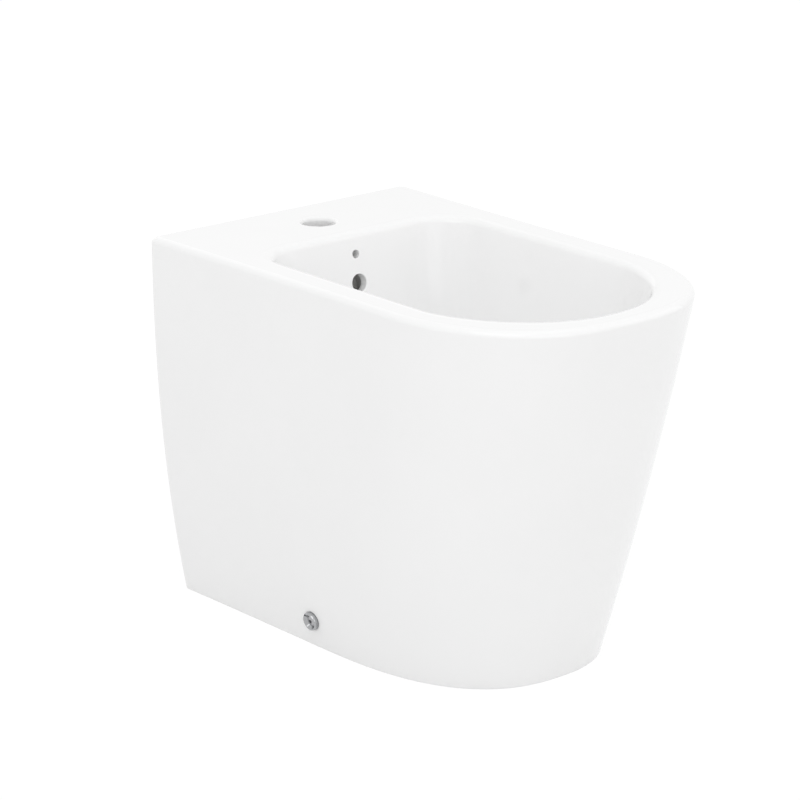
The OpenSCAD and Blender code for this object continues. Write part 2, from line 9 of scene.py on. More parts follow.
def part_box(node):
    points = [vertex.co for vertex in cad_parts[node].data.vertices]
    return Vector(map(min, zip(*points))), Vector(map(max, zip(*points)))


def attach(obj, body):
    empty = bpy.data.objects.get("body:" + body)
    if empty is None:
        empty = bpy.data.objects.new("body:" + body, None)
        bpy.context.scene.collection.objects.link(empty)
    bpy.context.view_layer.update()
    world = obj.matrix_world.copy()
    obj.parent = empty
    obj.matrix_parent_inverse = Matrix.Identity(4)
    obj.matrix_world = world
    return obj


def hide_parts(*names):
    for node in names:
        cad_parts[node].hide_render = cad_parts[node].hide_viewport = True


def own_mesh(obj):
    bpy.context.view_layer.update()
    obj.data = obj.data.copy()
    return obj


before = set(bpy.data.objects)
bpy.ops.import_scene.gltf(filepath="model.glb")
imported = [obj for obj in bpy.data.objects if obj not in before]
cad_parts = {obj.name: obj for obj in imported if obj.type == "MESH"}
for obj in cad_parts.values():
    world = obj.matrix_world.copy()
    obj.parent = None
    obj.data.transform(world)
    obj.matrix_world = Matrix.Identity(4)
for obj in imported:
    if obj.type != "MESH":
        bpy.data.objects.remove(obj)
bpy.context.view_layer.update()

bl_info = {
    "name": "Floor standing bidet",
    "version": (1, 0, 0),
    "blender": (4, 5, 0),
    "location": "View3D > Sidebar > Bidet",
    "description": "Glazed casting, click waste, bottle trap and side fixings of a back-to-wall bidet",
    "category": "Object",
}

BODY = "bidet"
PLUG = "plug"
LOW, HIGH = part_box("ceramic_body")
BACK = HIGH.y
MM = 0.001


# ---- sizes and colours

def number(about, value, unit="NONE"):
    return FloatProperty(description=about, default=value, unit=unit)


def length(about, metres):
    return number(about, metres, "LENGTH")


def angle(about, degrees):
    return number(about, math.radians(degrees), "ROTATION")


def whole(about, value):
    return IntProperty(description=about, default=value)


def colour(about, value):
    return FloatVectorProperty(description=about, default=value, subtype="COLOR", size=3)


class CastingSizes(bpy.types.PropertyGroup):
    """Driving sizes of the glazed casting"""
    top_width: length("Width across the rim at the wall", HIGH.x - LOW.x)
    top_waist: length("Width across the rim halfway to the front", 0.3365)
    depth: length("From the wall to the front of the rim", HIGH.y - LOW.y)
    height: length("From the floor to the rim", HIGH.z)
    foot_width: length("Width across the foot at the wall", 0.2735)
    foot_waist: length("Width across the foot where its front curve begins", 0.2695)
    foot_depth: length("From the wall to the front of the foot", 0.4495)
    foot_nose: length("From the wall to where the foot's front curve begins", 0.216)
    top_nose: length("From the wall to where the rim's front curve begins", 0.386)
    side_bulge: number("1 is a straight taper", 2.3)
    skirt_wall: length("Thickness of the skirt", 0.013)
    deck_wall: length("Thickness of the rim and the deck", 0.014)
    rim_round: length("Rounding of the outer rim edge", 0.007)
    skirt_corner: length("Rounding of the upright back edges", 0.006)
    mouth_width: length("Width of the basin's mouth", 0.266)
    mouth_back: length("From the wall to the basin's mouth", 0.124)
    mouth_nose: length("From the wall to where the mouth's front curve begins", 0.394)
    mouth_front: length("From the wall to the front of the mouth", 0.515)
    mouth_corner: length("Rounding of the basin's rear corners", 0.050)
    lip_round: length("Rounding of the inner rim edge", 0.009)
    basin_wall: length("Thickness of the basin's wall", 0.012)
    basin_depth: length("From the rim to the seat of the waste", 0.168)
    wall_lean: angle("Lean of the basin's wall", 11.3)
    front_share: number("How much faster the front draws in", 1.5)
    floor_round: length("Radius between the basin's wall and its floor", 0.045)
    floor_fall: length("Fall of the floor to the waste", 0.0095)
    floor_lean: angle("Slope at the foot of the basin's wall", 18)
    tap_hole: length("Diameter of the tap hole", 0.035)
    tap_round: length("Rounding of the tap hole's mouth", 0.005)
    tap_back: length("From the wall to the tap hole", 0.066)
    overflow_hole: length("Diameter of the overflow hole", 0.019)
    overflow_drop: length("Height of the overflow hole below the rim", 0.053)
    small_hole: length("Diameter of the small hole", 0.009)
    small_drop: length("Height of the small hole below the rim", 0.023)
    waste_hole: length("Diameter of the waste hole", 0.045)


class MeshSizes(bpy.types.PropertyGroup):
    """How finely the casting and the turned pieces are meshed"""
    back_steps: whole("Steps along half the back", 6)
    corner_steps: whole("Steps round a rear corner", 9)
    side_steps: whole("Steps along a side", 14)
    nose_steps: whole("Steps round half the front", 44)
    turned_columns: whole("Steps round a turned piece", 96)


class FixingSizes(bpy.types.PropertyGroup):
    """Driving sizes of the screw and cup washer low on each side"""
    back: length("From the wall to the side fixings", 0.225)
    height: length("Height of the side fixings", 0.030)
    cup_radius: length("Radius of the cup washer", 0.010)
    cup_proud: length("How far the cup stands proud of the skirt", 0.0048)
    head_radius: length("Radius of the screw's head", 0.0053)
    socket: length("Width across the flats of the socket", 0.004)
    nick_turn: angle("Where the cup's rim has its nick for a lever", 37)


class FinishColours(bpy.types.PropertyGroup):
    """Colours of the finishes"""
    glaze: colour("White glaze", (0.934, 0.934, 0.934))
    clay: colour("Fired clay where no glaze lies", (0.63, 0.627, 0.615))
    # darker than true chrome, so that it shows the dark surroundings that chrome reflects: a painted reflection
    chrome: colour("Chromed brass", (0.42, 0.425, 0.435))
    steel: colour("Plated steel", (0.44, 0.44, 0.45))
    brass: colour("Machined brass", (0.70, 0.54, 0.25))
    rubber: colour("Black rubber", (0.028, 0.028, 0.030))
    white_plastic: colour("Moulded white plastic", (0.80, 0.80, 0.78))
    grey_plastic: colour("Fibre filled grey plastic", (0.36, 0.37, 0.39))


class StageSettings(bpy.types.PropertyGroup):
    """Camera and light"""
    lens: number("Focal length on a 36 mm sensor", 150.0)
    azimuth: angle("Camera's turn about the object", -40.33)
    elevation: angle("Camera's height angle", 17.76)
    distance: length("From the camera to its target", 3.486)
    target: FloatVectorProperty(description="What the camera looks at", default=(0.0009, 0.0744, 0.2273))
    shift: number("Upward shift of the frame", 0.00695)
    sky: number("Strength of the even light", 0.83)
    floor: colour("Pale floor", (0.85, 0.85, 0.85))


GROUPS = {"bidet_casting": CastingSizes, "bidet_mesh": MeshSizes, "bidet_fixings": FixingSizes,
          "bidet_colours": FinishColours, "bidet_stage": StageSettings}


# ---- node trees

class Rule:
    """A number worked out in a node tree, so that a shape's rule is written as a formula"""

    def __init__(self, tree, socket):
        self.tree = tree
        self.socket = socket

    def run(self, operation, *others):
        node = self.tree.nodes.new("ShaderNodeMath")
        node.operation = operation
        for socket, value in zip(node.inputs, (self, *others)):
            if isinstance(value, Rule):
                self.tree.links.new(value.socket, socket)
            else:
                socket.default_value = value
        return Rule(self.tree, node.outputs[0])

    def __add__(self, other):
        return self.run("ADD", other)

    def __sub__(self, other):
        return self.run("SUBTRACT", other)

    def __mul__(self, other):
        return self.run("MULTIPLY", other)

    def __truediv__(self, other):
        return self.run("DIVIDE", other)

    def __pow__(self, other):
        return self.run("POWER", other)

    def to(self, other, share):
        """Mixes this with another number by a share from 0 to 1"""
        return self + (other - self) * share

    def from_0_to_1(self):
        return self.run("MAXIMUM", 0.0).run("MINIMUM", 1.0)


def add(tree, kind, inputs=None, **settings):
    """Adds a node. Each input takes a constant, a rule, a socket or another node's first output."""
    node = tree.nodes.new(kind)
    for name, value in settings.items():
        setattr(node, name, value)
    for name, value in (inputs or {}).items():
        if isinstance(value, bpy.types.Node):
            value = value.outputs[0]
        value = value.socket if isinstance(value, Rule) else value
        if isinstance(value, bpy.types.NodeSocket):
            tree.links.new(value, node.inputs[name])
        else:
            node.inputs[name].default_value = value
    return node


def linked(name, data):
    """A new object in the scene"""
    piece = bpy.data.objects.new(name, data)
    bpy.context.scene.collection.objects.link(piece)
    return piece


def geometry_tree(name, numbers):
    """A geometry tree with its named inputs: whole numbers, sizes and a material"""
    tree = bpy.data.node_groups.new(name, "GeometryNodeTree")
    tree.interface.new_socket("Geometry", in_out="INPUT", socket_type="NodeSocketGeometry")
    for title, value in numbers.items():
        kind = "NodeSocketInt" if isinstance(value, int) else "NodeSocketFloat"
        tree.interface.new_socket(title, in_out="INPUT", socket_type=kind).default_value = value
    tree.interface.new_socket("Material", in_out="INPUT", socket_type="NodeSocketMaterial")
    tree.interface.new_socket("Geometry", in_out="OUTPUT", socket_type="NodeSocketGeometry")
    start = tree.nodes.new("NodeGroupInput")
    given = {title: Rule(tree, start.outputs[title]) for title in numbers}
    return tree, start, given


def end_tree(tree, start, geometry, smooth=True):
    """Ends a tree in smooth shading, real geometry and its material"""
    shaded = add(tree, "GeometryNodeSetShadeSmooth", {"Geometry": geometry, "Shade Smooth": smooth})
    real = add(tree, "GeometryNodeRealizeInstances", {"Geometry": shaded})
    finished = add(tree, "GeometryNodeSetMaterial",
                   {"Geometry": real, "Material": start.outputs["Material"]})
    add(tree, "NodeGroupOutput", {"Geometry": finished})
    return tree


def run_tree(name, mesh, tree, values, material):
    """Runs a geometry tree on a mesh and returns the result as a plain object"""
    source = linked(name + ".source", mesh)
    modifier = source.modifiers.new("rule", "NODES")
    modifier.node_group = tree
    for item in tree.interface.items_tree:
        if item.in_out == "INPUT" and item.name in values:
            modifier[item.identifier] = values[item.name]
        if item.in_out == "INPUT" and item.name == "Material":
            modifier[item.identifier] = material
    return plain(name, source)


def plain(name, source):
    """Turns an object and its modifiers into a plain mesh object"""
    depsgraph = bpy.context.evaluated_depsgraph_get()
    mesh = bpy.data.meshes.new_from_object(source.evaluated_get(depsgraph), depsgraph=depsgraph)
    old = source.data
    bpy.data.objects.remove(source)
    if old.users == 0:
        bpy.data.meshes.remove(old)
    mesh.name = name
    return linked(name, mesh)


def index_of(tree):
    return Rule(tree, tree.nodes.new("GeometryNodeInputIndex").outputs[0])


def grid_of_section(tree, start, columns):
    """A grid with one row for each point of the section, and where each of its points stands"""
    size = add(tree, "GeometryNodeAttributeDomainSize", {"Geometry": start.outputs["Geometry"]})
    rows = Rule(tree, size.outputs["Point Count"])
    grid = add(tree, "GeometryNodeMeshGrid",
               {"Size X": 1.0, "Size Y": 1.0, "Vertices X": columns + 1, "Vertices Y": rows})
    index = index_of(tree)
    column = ((index + 0.5) / rows).run("FLOOR")
    row = index - column * rows

    def value(name):
        attribute = add(tree, "GeometryNodeInputNamedAttribute", {"Name": name}, data_type="FLOAT")
        sample = add(tree, "GeometryNodeSampleIndex",
                     {"Geometry": start.outputs["Geometry"], "Value": attribute, "Index": row},
                     data_type="FLOAT", domain="POINT")
        return Rule(tree, sample.outputs[0])

    return grid.outputs["Mesh"], column, value


def placed_grid(tree, mesh, x, y, z, weld, kept=None):
    """Moves the grid's points and welds its first and last columns. A kept number stays on the points."""
    point = add(tree, "ShaderNodeCombineXYZ", {"X": x, "Y": y, "Z": z})
    for name, value in (kept or {}).items():
        mesh = add(tree, "GeometryNodeStoreNamedAttribute", {"Geometry": mesh, "Name": name, "Value": value},
                   data_type="FLOAT", domain="POINT").outputs[0]
    moved = add(tree, "GeometryNodeSetPosition", {"Geometry": mesh, "Position": point})
    return add(tree, "GeometryNodeMergeByDistance",
               {"Geometry": moved, "Distance": weld}).outputs[0]


PLAN_NAMES = ("wall", "half_back", "half_side", "straight", "reach", "corner", "across", "along",
              "height", "spread", "ring", "raw")
SECTION_WELD = 2e-6


def plan_tree():
    """Carries a section round a D-shaped plan: flat back, round corners, sides and a full front"""
    tree, start, given = geometry_tree(
        "D-shaped plan", {"Back steps": 3, "Corner steps": 6, "Side steps": 5, "Nose steps": 16})
    back, corner, side, nose = (given[n] for n in ("Back steps", "Corner steps", "Side steps", "Nose steps"))
    half = back + corner + side + nose
    mesh, column, value = grid_of_section(tree, start, half * 2.0)
    plan = {name: value(name) for name in PLAN_NAMES}
    step = half - (half - column).run("ABSOLUTE")
    hand = (half - column).run("SIGN")
    on_back = (step / back).from_0_to_1()
    turn = ((step - back) / corner).from_0_to_1() * (math.pi / 2)
    on_side = ((step - back - corner) / side).from_0_to_1()
    sweep = ((step - back - corner - side) / nose).from_0_to_1() * (math.pi / 2)
    past_corner = (step - back - corner).run("GREATER_THAN", 0.5)
    past_side = (step - back - corner - side).run("GREATER_THAN", 0.5)

    flat_x = (plan["half_back"] - plan["corner"]) * on_back + plan["corner"] * turn.run("SINE")
    flat_y = plan["corner"] - plan["corner"] * turn.run("COSINE")
    side_y = plan["corner"].to(plan["straight"], on_side)
    bow = (side_y / plan["straight"] * -1.0 + 1.0).run("MAXIMUM", 0.0) ** 2.0
    side_x = plan["half_side"].to(plan["half_back"], bow)
    nose_x = plan["half_side"] * (sweep.run("COSINE").from_0_to_1() ** (plan["across"] ** -1.0 * 2.0))
    nose_y = plan["straight"].to(plan["reach"], sweep.run("SINE").from_0_to_1() ** (plan["along"] ** -1.0 * 2.0))

    x = flat_x.to(side_x, past_corner).to(nose_x, past_side) * hand
    y = plan["wall"] - flat_y.to(side_y, past_corner).to(nose_y, past_side)
    from_axis = (x * x + y * y).run("SQRT")
    round_x = x / from_axis * plan["ring"]
    round_y = y / from_axis * plan["ring"]
    skin = placed_grid(tree, mesh, round_x.to(x, plan["spread"]), round_y.to(y, plan["spread"]),
                       plan["height"], SECTION_WELD, {"raw": plan["raw"]})
    return end_tree(tree, start, skin)


def turned_tree():
    """Turns a section about Z. Points marked as grip take scallops round the piece."""
    tree, start, given = geometry_tree(
        "Turned piece", {"Columns": 96, "Scallops": 12, "Scallop depth": 0.0, "Scallop width": 0.43})
    mesh, column, value = grid_of_section(tree, start, given["Columns"])
    around = column / given["Columns"] * (2 * math.pi)
    width = given["Scallop width"]
    wave = ((around * given["Scallops"]).run("COSINE") - width) / (width * -1.0 + 1.0)
    radius = value("radius") - wave.from_0_to_1() ** 0.6 * given["Scallop depth"] * value("grip")
    skin = placed_grid(tree, mesh, radius * around.run("COSINE"), radius * around.run("SINE"),
                       value("height"), SECTION_WELD)
    return end_tree(tree, start, skin)


def coil_tree():
    """A wire wound about Z, for a spring or a thread"""
    tree, start, given = geometry_tree(
        "Coil", {"Turns": 7.0, "Steps per turn": 28, "Bottom radius": 0.004, "Top radius": 0.004,
                 "Height": 0.02, "Wire": 0.0005, "Sides": 10})
    spiral = add(tree, "GeometryNodeCurveSpiral",
                 {"Resolution": given["Steps per turn"], "Rotations": given["Turns"],
                  "Start Radius": given["Bottom radius"], "End Radius": given["Top radius"],
                  "Height": given["Height"]})
    ring = add(tree, "GeometryNodeCurvePrimitiveCircle", {"Resolution": given["Sides"], "Radius": given["Wire"]})
    tube = add(tree, "GeometryNodeCurveToMesh",
               {"Curve": spiral, "Profile Curve": ring, "Fill Caps": True})
    return end_tree(tree, start, tube.outputs[0])


def end_copies(tree, start, points, rotation, smooth):
    """Ends a tree with a copy of the piece at each point"""
    copies = add(tree, "GeometryNodeInstanceOnPoints",
                 {"Points": points, "Instance": start.outputs["Geometry"], "Rotation": rotation})
    return end_tree(tree, start, copies, smooth)


def ring_tree():
    """Copies of a piece in a ring about Z"""
    tree, start, given = geometry_tree("Ring of copies", {"Count": 4, "First angle": 0.0})
    points = add(tree, "GeometryNodePoints", {"Count": given["Count"]})
    turn = index_of(tree) / given["Count"] * (2 * math.pi) + given["First angle"]
    return end_copies(tree, start, points, add(tree, "ShaderNodeCombineXYZ", {"Z": turn}), False)


def pair_tree():
    """One copy of a piece on each side of the skirt, its own +Z pointing outwards"""
    tree, start, given = geometry_tree("Pair on the skirt", {"Out": 0.14, "Along": 0.05, "Up": 0.03, "Lean": 0.1})
    points = add(tree, "GeometryNodePoints", {"Count": 2})
    side = index_of(tree) * 2.0 - 1.0
    place = add(tree, "ShaderNodeCombineXYZ", {"X": side * given["Out"], "Y": given["Along"], "Z": given["Up"]})
    turn = add(tree, "ShaderNodeCombineXYZ", {"Y": side * (given["Lean"] + math.pi / 2)})
    spread = add(tree, "GeometryNodeSetPosition", {"Geometry": points, "Position": place})
    return end_copies(tree, start, spread, turn, True)


def tree_named(name, make):
    return bpy.data.node_groups.get(name) or make()


# ---- finishes

def shader_group(name, numbers, outputs):
    """A shader group with named number inputs that puts out masks and heights"""
    tree = bpy.data.node_groups.new(name, "ShaderNodeTree")
    tree.interface.new_socket("Place", in_out="INPUT", socket_type="NodeSocketVector")
    for title, value in numbers.items():
        tree.interface.new_socket(title, in_out="INPUT", socket_type="NodeSocketFloat").default_value = value
    for title in outputs:
        tree.interface.new_socket(title, in_out="OUTPUT", socket_type="NodeSocketFloat")
    start = tree.nodes.new("NodeGroupInput")
    return tree, start.outputs["Place"], *(Rule(tree, start.outputs[title]) for title in numbers)


def noise(tree, place, scale, detail, roughness):
    pattern = add(tree, "ShaderNodeTexNoise",
                  {"Vector": place, "Scale": scale, "Detail": detail, "Roughness": roughness})
    return Rule(tree, pattern.outputs["Fac"])


def uneven_group():
    """Broad unevenness: a soft mask from 0 to 1 and a wavy height"""
    tree, place, broad_scale, fine_scale = shader_group(
        "Uneven surface", {"Broad scale": 10.0, "Fine scale": 90.0}, ("Mask", "Height"))
    broad = noise(tree, place, broad_scale, 2.0, 0.5)
    fine = noise(tree, place, fine_scale, 3.0, 0.55)
    mask = add(tree, "ShaderNodeMapRange", {"Value": broad, "From Min": 0.35, "From Max": 0.65})
    add(tree, "NodeGroupOutput", {"Mask": mask, "Height": broad + fine * 0.06})
    return tree


def grain_group():
    """Fine grain, as of a mould or fired clay, with scattered specks"""
    tree, place, grain_scale, speck_scale = shader_group(
        "Fine grain", {"Grain scale": 900.0, "Speck scale": 240.0}, ("Mask", "Height"))
    grain = noise(tree, place, grain_scale, 3.0, 0.6)
    specks = add(tree, "ShaderNodeTexVoronoi", {"Vector": place, "Scale": speck_scale})
    dots = add(tree, "ShaderNodeMapRange", {"Value": specks.outputs["Distance"], "From Min": 0.12, "From Max": 0.2,
                                            "To Min": 1.0, "To Max": 0.0})
    add(tree, "NodeGroupOutput", {"Mask": dots, "Height": grain - Rule(tree, dots.outputs[0]) * 0.25})
    return tree


def turning_group():
    """Fine rings that a lathe leaves about Z"""
    tree, place, pitch_scale = shader_group("Turning marks", {"Pitch scale": 900.0}, ("Height",))
    split = add(tree, "ShaderNodeSeparateXYZ", {"Vector": place})
    x, y, z = (Rule(tree, split.outputs[axis]) for axis in "XYZ")
    radius = (x * x + y * y).run("SQRT")
    add(tree, "NodeGroupOutput", {"Height": ((radius + z) * pitch_scale * 6.283).run("SINE")})
    return tree


FINISHES = {
    # poured white glaze: even, very glossy, with the soft waviness of a fired surface
    "glaze": dict(variation=0.992, roughness=(0.045, 0.075), uneven=(9.0, 70.0), wave=1.0, bump=0.00035),
    # fired clay inside the casting, matt and gritty, with thin glaze drifts
    "clay": dict(variation=0.93, roughness=(0.78, 0.92), uneven=(14.0, 120.0), grain=(1400.0, 330.0),
                 specks=(0.35, (0.43, 0.40, 0.36)), bump=0.00012),
    "chrome": dict(variation=0.94, roughness=(0.06, 0.16), metallic=1.0, uneven=(60.0, 500.0), wave=1.0,
                   bump=0.00001),
    "steel": dict(variation=0.88, roughness=(0.24, 0.40), metallic=1.0, uneven=(90.0, 700.0), wave=0.4,
                  grain=(2400.0, 600.0), bump=0.00001),
    "brass": dict(variation=0.86, roughness=(0.22, 0.42), metallic=1.0, uneven=(70.0, 400.0), turning=1600.0,
                  bump=0.00002),
    "rubber": dict(variation=1.5, roughness=(0.55, 0.75), uneven=(80.0, 300.0), grain=(1800.0, 500.0),
                   bump=0.00003),
    "white_plastic": dict(variation=0.96, roughness=(0.30, 0.42), uneven=(30.0, 200.0), wave=0.3,
                          grain=(1600.0, 420.0), bump=0.00003),
    "grey_plastic": dict(variation=0.90, roughness=(0.45, 0.62), uneven=(40.0, 260.0), grain=(1300.0, 300.0),
                         specks=(0.2, (0.6, 0.6, 0.58)), bump=0.00005),
}


def finish(name):
    """A finish by its name, made when it is first asked for"""
    label = f"{name}_finish"
    return bpy.data.materials.get(label) or make_finish(
        label, getattr(bpy.context.scene.bidet_colours, name), **FINISHES[name])


def make_finish(label, base, variation, roughness, uneven, bump, metallic=0.0, wave=0.0, grain=None, specks=None,
                turning=None):
    """The colour drifts between two tones, the roughness with it, and the bump is real in scale"""
    material = bpy.data.materials.new(label)
    material.use_nodes = True
    tree = material.node_tree
    surface = tree.nodes["Principled BSDF"]
    place = tree.nodes.new("ShaderNodeTexCoord").outputs["Object"]

    def effect(title, make, **values):
        inputs = {name.replace("_", " "): value for name, value in values.items()}
        return add(tree, "ShaderNodeGroup", {"Place": place, **inputs}, node_tree=tree_named(title, make)).outputs

    soft = effect("Uneven surface", uneven_group, Broad_scale=uneven[0], Fine_scale=uneven[1])
    tones = add(tree, "ShaderNodeMix", {"Factor": soft["Mask"]}, data_type="RGBA")
    tones.inputs["A"].default_value = (*base, 1.0)
    tones.inputs["B"].default_value = (*(channel * variation for channel in base), 1.0)
    tint = tones.outputs["Result"]
    height = Rule(tree, soft["Height"]) * wave
    if grain:
        fine = effect("Fine grain", grain_group, Grain_scale=grain[0], Speck_scale=grain[1])
        height = height + Rule(tree, fine["Height"])
        if specks:
            share, shade = specks
            dotted = add(tree, "ShaderNodeMix", {"Factor": Rule(tree, fine["Mask"]) * share}, data_type="RGBA")
            tree.links.new(tint, dotted.inputs["A"])
            dotted.inputs["B"].default_value = (*shade, 1.0)
            tint = dotted.outputs["Result"]
    if turning:
        marks = effect("Turning marks", turning_group, Pitch_scale=turning)
        height = height + Rule(tree, marks["Height"]) * 0.5
    sheen = add(tree, "ShaderNodeMapRange",
                {"Value": soft["Mask"], "To Min": roughness[0], "To Max": roughness[1]})
    relief = add(tree, "ShaderNodeBump", {"Height": height, "Strength": 1.0, "Distance": bump})
    for socket, value in (("Base Color", tint), ("Roughness", sheen.outputs[0]), ("Normal", relief.outputs[0])):
        tree.links.new(value, surface.inputs[socket])
    surface.inputs["Metallic"].default_value = metallic
    return material


# ---- mesh helpers

def mix(low, high, share):
    return low + (high - low) * share


def section_mesh(name, points, names):
    """A bare row of points that carries the section's numbers as attributes"""
    mesh = bpy.data.meshes.new(name)
    mesh.from_pydata([(0, 0, 0)] * len(points), [], [])
    for i, title in enumerate(names):
        column = mesh.attributes.new(title, "FLOAT", "POINT")
        column.data.foreach_set("value", [float(point[i]) for point in points])
    return mesh


def made(name, shape):
    """A new object from a bmesh"""
    mesh = bpy.data.meshes.new(name)
    shape.to_mesh(mesh)
    shape.free()
    return linked(name, mesh)


def edit(piece, change):
    """Changes a piece's mesh in place"""
    shape = bmesh.new()
    shape.from_mesh(piece.data)
    change(shape)
    shape.to_mesh(piece.data)
    shape.free()
    piece.data.update()


def close_ends(shape):
    """Fills the open rings of a skin and points every face outwards"""
    rims = [edge for edge in shape.edges if edge.is_boundary]
    bmesh.ops.holes_fill(shape, edges=rims, sides=0)
    bmesh.ops.recalc_face_normals(shape, faces=shape.faces)


def turned(name, points, material, scallops=None, columns=None):
    """A piece turned from (radius, height) or (radius, height, grip) points, closed on itself or on the axis"""
    section = [(p[0], p[1], p[2] if len(p) > 2 else 0.0) for p in points]
    values = {"Columns": columns or bpy.context.scene.bidet_mesh.turned_columns}
    if scallops:
        values.update({"Scallops": scallops[0], "Scallop depth": scallops[1], "Scallop width": scallops[2]})
    mesh = section_mesh(name, section, ("radius", "height", "grip"))
    piece = run_tree(name, mesh, tree_named("Turned piece", turned_tree), values, material)

    def tidy(shape):
        bmesh.ops.remove_doubles(shape, verts=shape.verts, dist=SECTION_WELD)
        close_ends(shape)

    edit(piece, tidy)
    return piece


def loop(points):
    """Closes a section on itself, for a ring"""
    return points + points[:1]


def block(name, low, high):
    """A plain box used as a cutter or as the core of a piece"""
    shape = bmesh.new()
    bmesh.ops.create_cube(shape, size=1.0)
    for vertex in shape.verts:
        vertex.co = Vector(mix(low[i], high[i], vertex.co[i] + 0.5) for i in range(3))
    return made(name, shape)


def placed(piece, matrix):
    """Applies a placing to a piece's mesh"""
    piece.data.transform(matrix)
    piece.data.update()
    return piece


def carved(piece, cutters, added=(), crease=32):
    """Joins and cuts a piece with others, which are then removed, and shades it by its creases"""
    for other, operation in [(o, "UNION") for o in added] + [(o, "DIFFERENCE") for o in cutters]:
        modifier = piece.modifiers.new(other.name, "BOOLEAN")
        modifier.operation = operation
        modifier.solver = "EXACT"
        modifier.object = other
    result = plain(piece.name, piece)
    for other in (*added, *cutters):
        bpy.data.objects.remove(other)
    return creased(result, crease)


def creased(piece, crease):
    """Smooth shading with hard edges where the surface turns by more than an angle"""
    piece.data.shade_smooth()
    piece.data.set_sharp_from_angle(angle=math.radians(crease))
    modifier = piece.modifiers.new("weight", "WEIGHTED_NORMAL")
    modifier.keep_sharp = True
    return plain(piece.name, piece)


def fit(piece, node, body=BODY):
    """Puts a finished piece under its body and hides the node that it stands for"""
    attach(piece, body)
    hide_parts(node)


# ---- casting

# fullness of a plan's front, across and along: 2 is an ellipse and more is squarer
FOOT_FULLNESS = (2.44, 2.89)
TOP_FULLNESS = (2.8, 1.78)
MOUTH_FULLNESS = (2.2, 1.6)
FOOT_ROUND = 0.0015
# the recess round the waste's seat, its soft edge, and the ring where the basin's floor begins
RECESS_RADIUS = 0.034
RECESS_DEPTH = 0.005
RECESS_EDGE = 0.0036
FLOOR_START = 0.037
# the boss below the seat, its fillet under the floor and its rounding at the foot
BOSS_RADIUS = 0.040
BOSS_DEPTH = 0.044
BOSS_FILLET = 0.003
BOSS_ROUND = 0.002
# the seat and the boss are closed by discs of this radius, which the waste hole cuts away
CORE_RADIUS = 0.012
FLOOR_CURVE = 1.25
INNER_FILLET = 0.005
RAW = 1.0
EDGE = 0.0008
# the overflow's housing and passage: width, rise above the hole's middle, nearest and farthest depth, bevel
HOUSING = (0.046, 0.019, 0.005, 0.031, 0.006)
PASSAGE = (0.028, 0.010, 0.010, 0.023, 0.0)
# the chamber round the waste: radius, foot and top below the seat
CHAMBER = (0.030, -0.026, -0.010)
# the opening in the back: half its width, its top, the radius of its corners and of its edges
SERVICE_OPENING = (0.100, 0.322, 0.030, 0.003)
# the side hole: radius, the shallow seat's radius at its foot and at its mouth, the seat's depth
SIDE_HOLE = (0.0062, 0.0106, 0.0110, 0.0006)
# how far the cutters reach: below the waste's seat, into the skirt, and out past the face that they open
WASTE_CUT = 0.050
SIDE_CUT = 0.022
PAST_FACE = 0.002
PAST_SKIRT = 0.006
BELOW_FLOOR = 0.02


def steps(count, first=0):
    """Even shares from 0 to 1"""
    return [i / count for i in range(first, count + 1)]


def quarters(count):
    """Sines and cosines of even steps through a right angle"""
    return [(math.sin(share * math.pi / 2), math.cos(share * math.pi / 2)) for share in steps(count)]


def skirt_level(s, z, inset, raw=0.0, at=None):
    """The skirt's plan at a height, drawn in by an inset"""
    up = z / (s.height - s.rim_round)
    rise = 1 - (1 - z / s.height) ** s.side_bulge
    return (BACK - inset,
            mix(s.foot_width, s.top_width, rise) / 2 - inset,
            mix(s.foot_waist, s.top_waist, rise) / 2 - inset,
            mix(s.foot_nose, s.top_nose, up) - inset,
            mix(s.foot_depth, s.depth, up) - 2 * inset,
            s.skirt_corner, mix(FOOT_FULLNESS[0], TOP_FULLNESS[0], up),
            mix(FOOT_FULLNESS[1], TOP_FULLNESS[1], up),
            z if at is None else at, 1.0, 0.0, raw)


def basin_level(s, inset, wall, z, raw=0.0, spread=1.0, ring=0.0):
    """The basin's plan, drawn in from its mouth by an inset and let out by a wall's thickness"""
    sides = inset - wall
    front = s.front_share * inset - wall
    return (BACK - s.mouth_back - sides, s.mouth_width / 2 - sides, s.mouth_width / 2 - sides,
            s.mouth_nose - s.mouth_back - sides, s.mouth_front - s.mouth_back - sides - front,
            max(s.mouth_corner - sides / 4, s.mouth_corner / 2), *MOUTH_FULLNESS, z, spread, ring, raw)


def wall_at(s, z, out):
    """Inset, wall and height of a point on the basin's leaning wall"""
    return math.tan(s.wall_lean) * (s.height - z), out / math.cos(s.wall_lean), z


def arc_centre(s):
    return s.height - s.basin_depth + RECESS_DEPTH + s.floor_fall + s.floor_round * math.cos(s.floor_lean)


def arc_at(s, share, out):
    """Inset, wall and height of a point on the arc between the basin's wall and its floor"""
    turn = mix(s.wall_lean, math.pi / 2 - s.floor_lean, share)
    start = s.floor_round * math.cos(s.wall_lean) + math.tan(s.wall_lean) * (
        s.height - arc_centre(s) + s.floor_round * math.sin(s.wall_lean))
    return (start - s.floor_round * math.cos(turn), out * math.cos(turn),
            arc_centre(s) - (s.floor_round + out) * math.sin(turn))


def floor_level(s, share, out, ring, raw=0.0):
    """The floor between the waste and the foot of the arc, where a circle turns into the basin's plan"""
    inset, wall, z = arc_at(s, 1.0, out)
    foot = s.height - s.basin_depth + RECESS_DEPTH - out
    return basin_level(s, inset, wall, mix(foot, z, share ** FLOOR_CURVE), raw, share, ring)


def disc_level(s, ring, z, raw=0.0):
    return basin_level(s, 0.0, 0.0, z, raw, 0.0, ring)


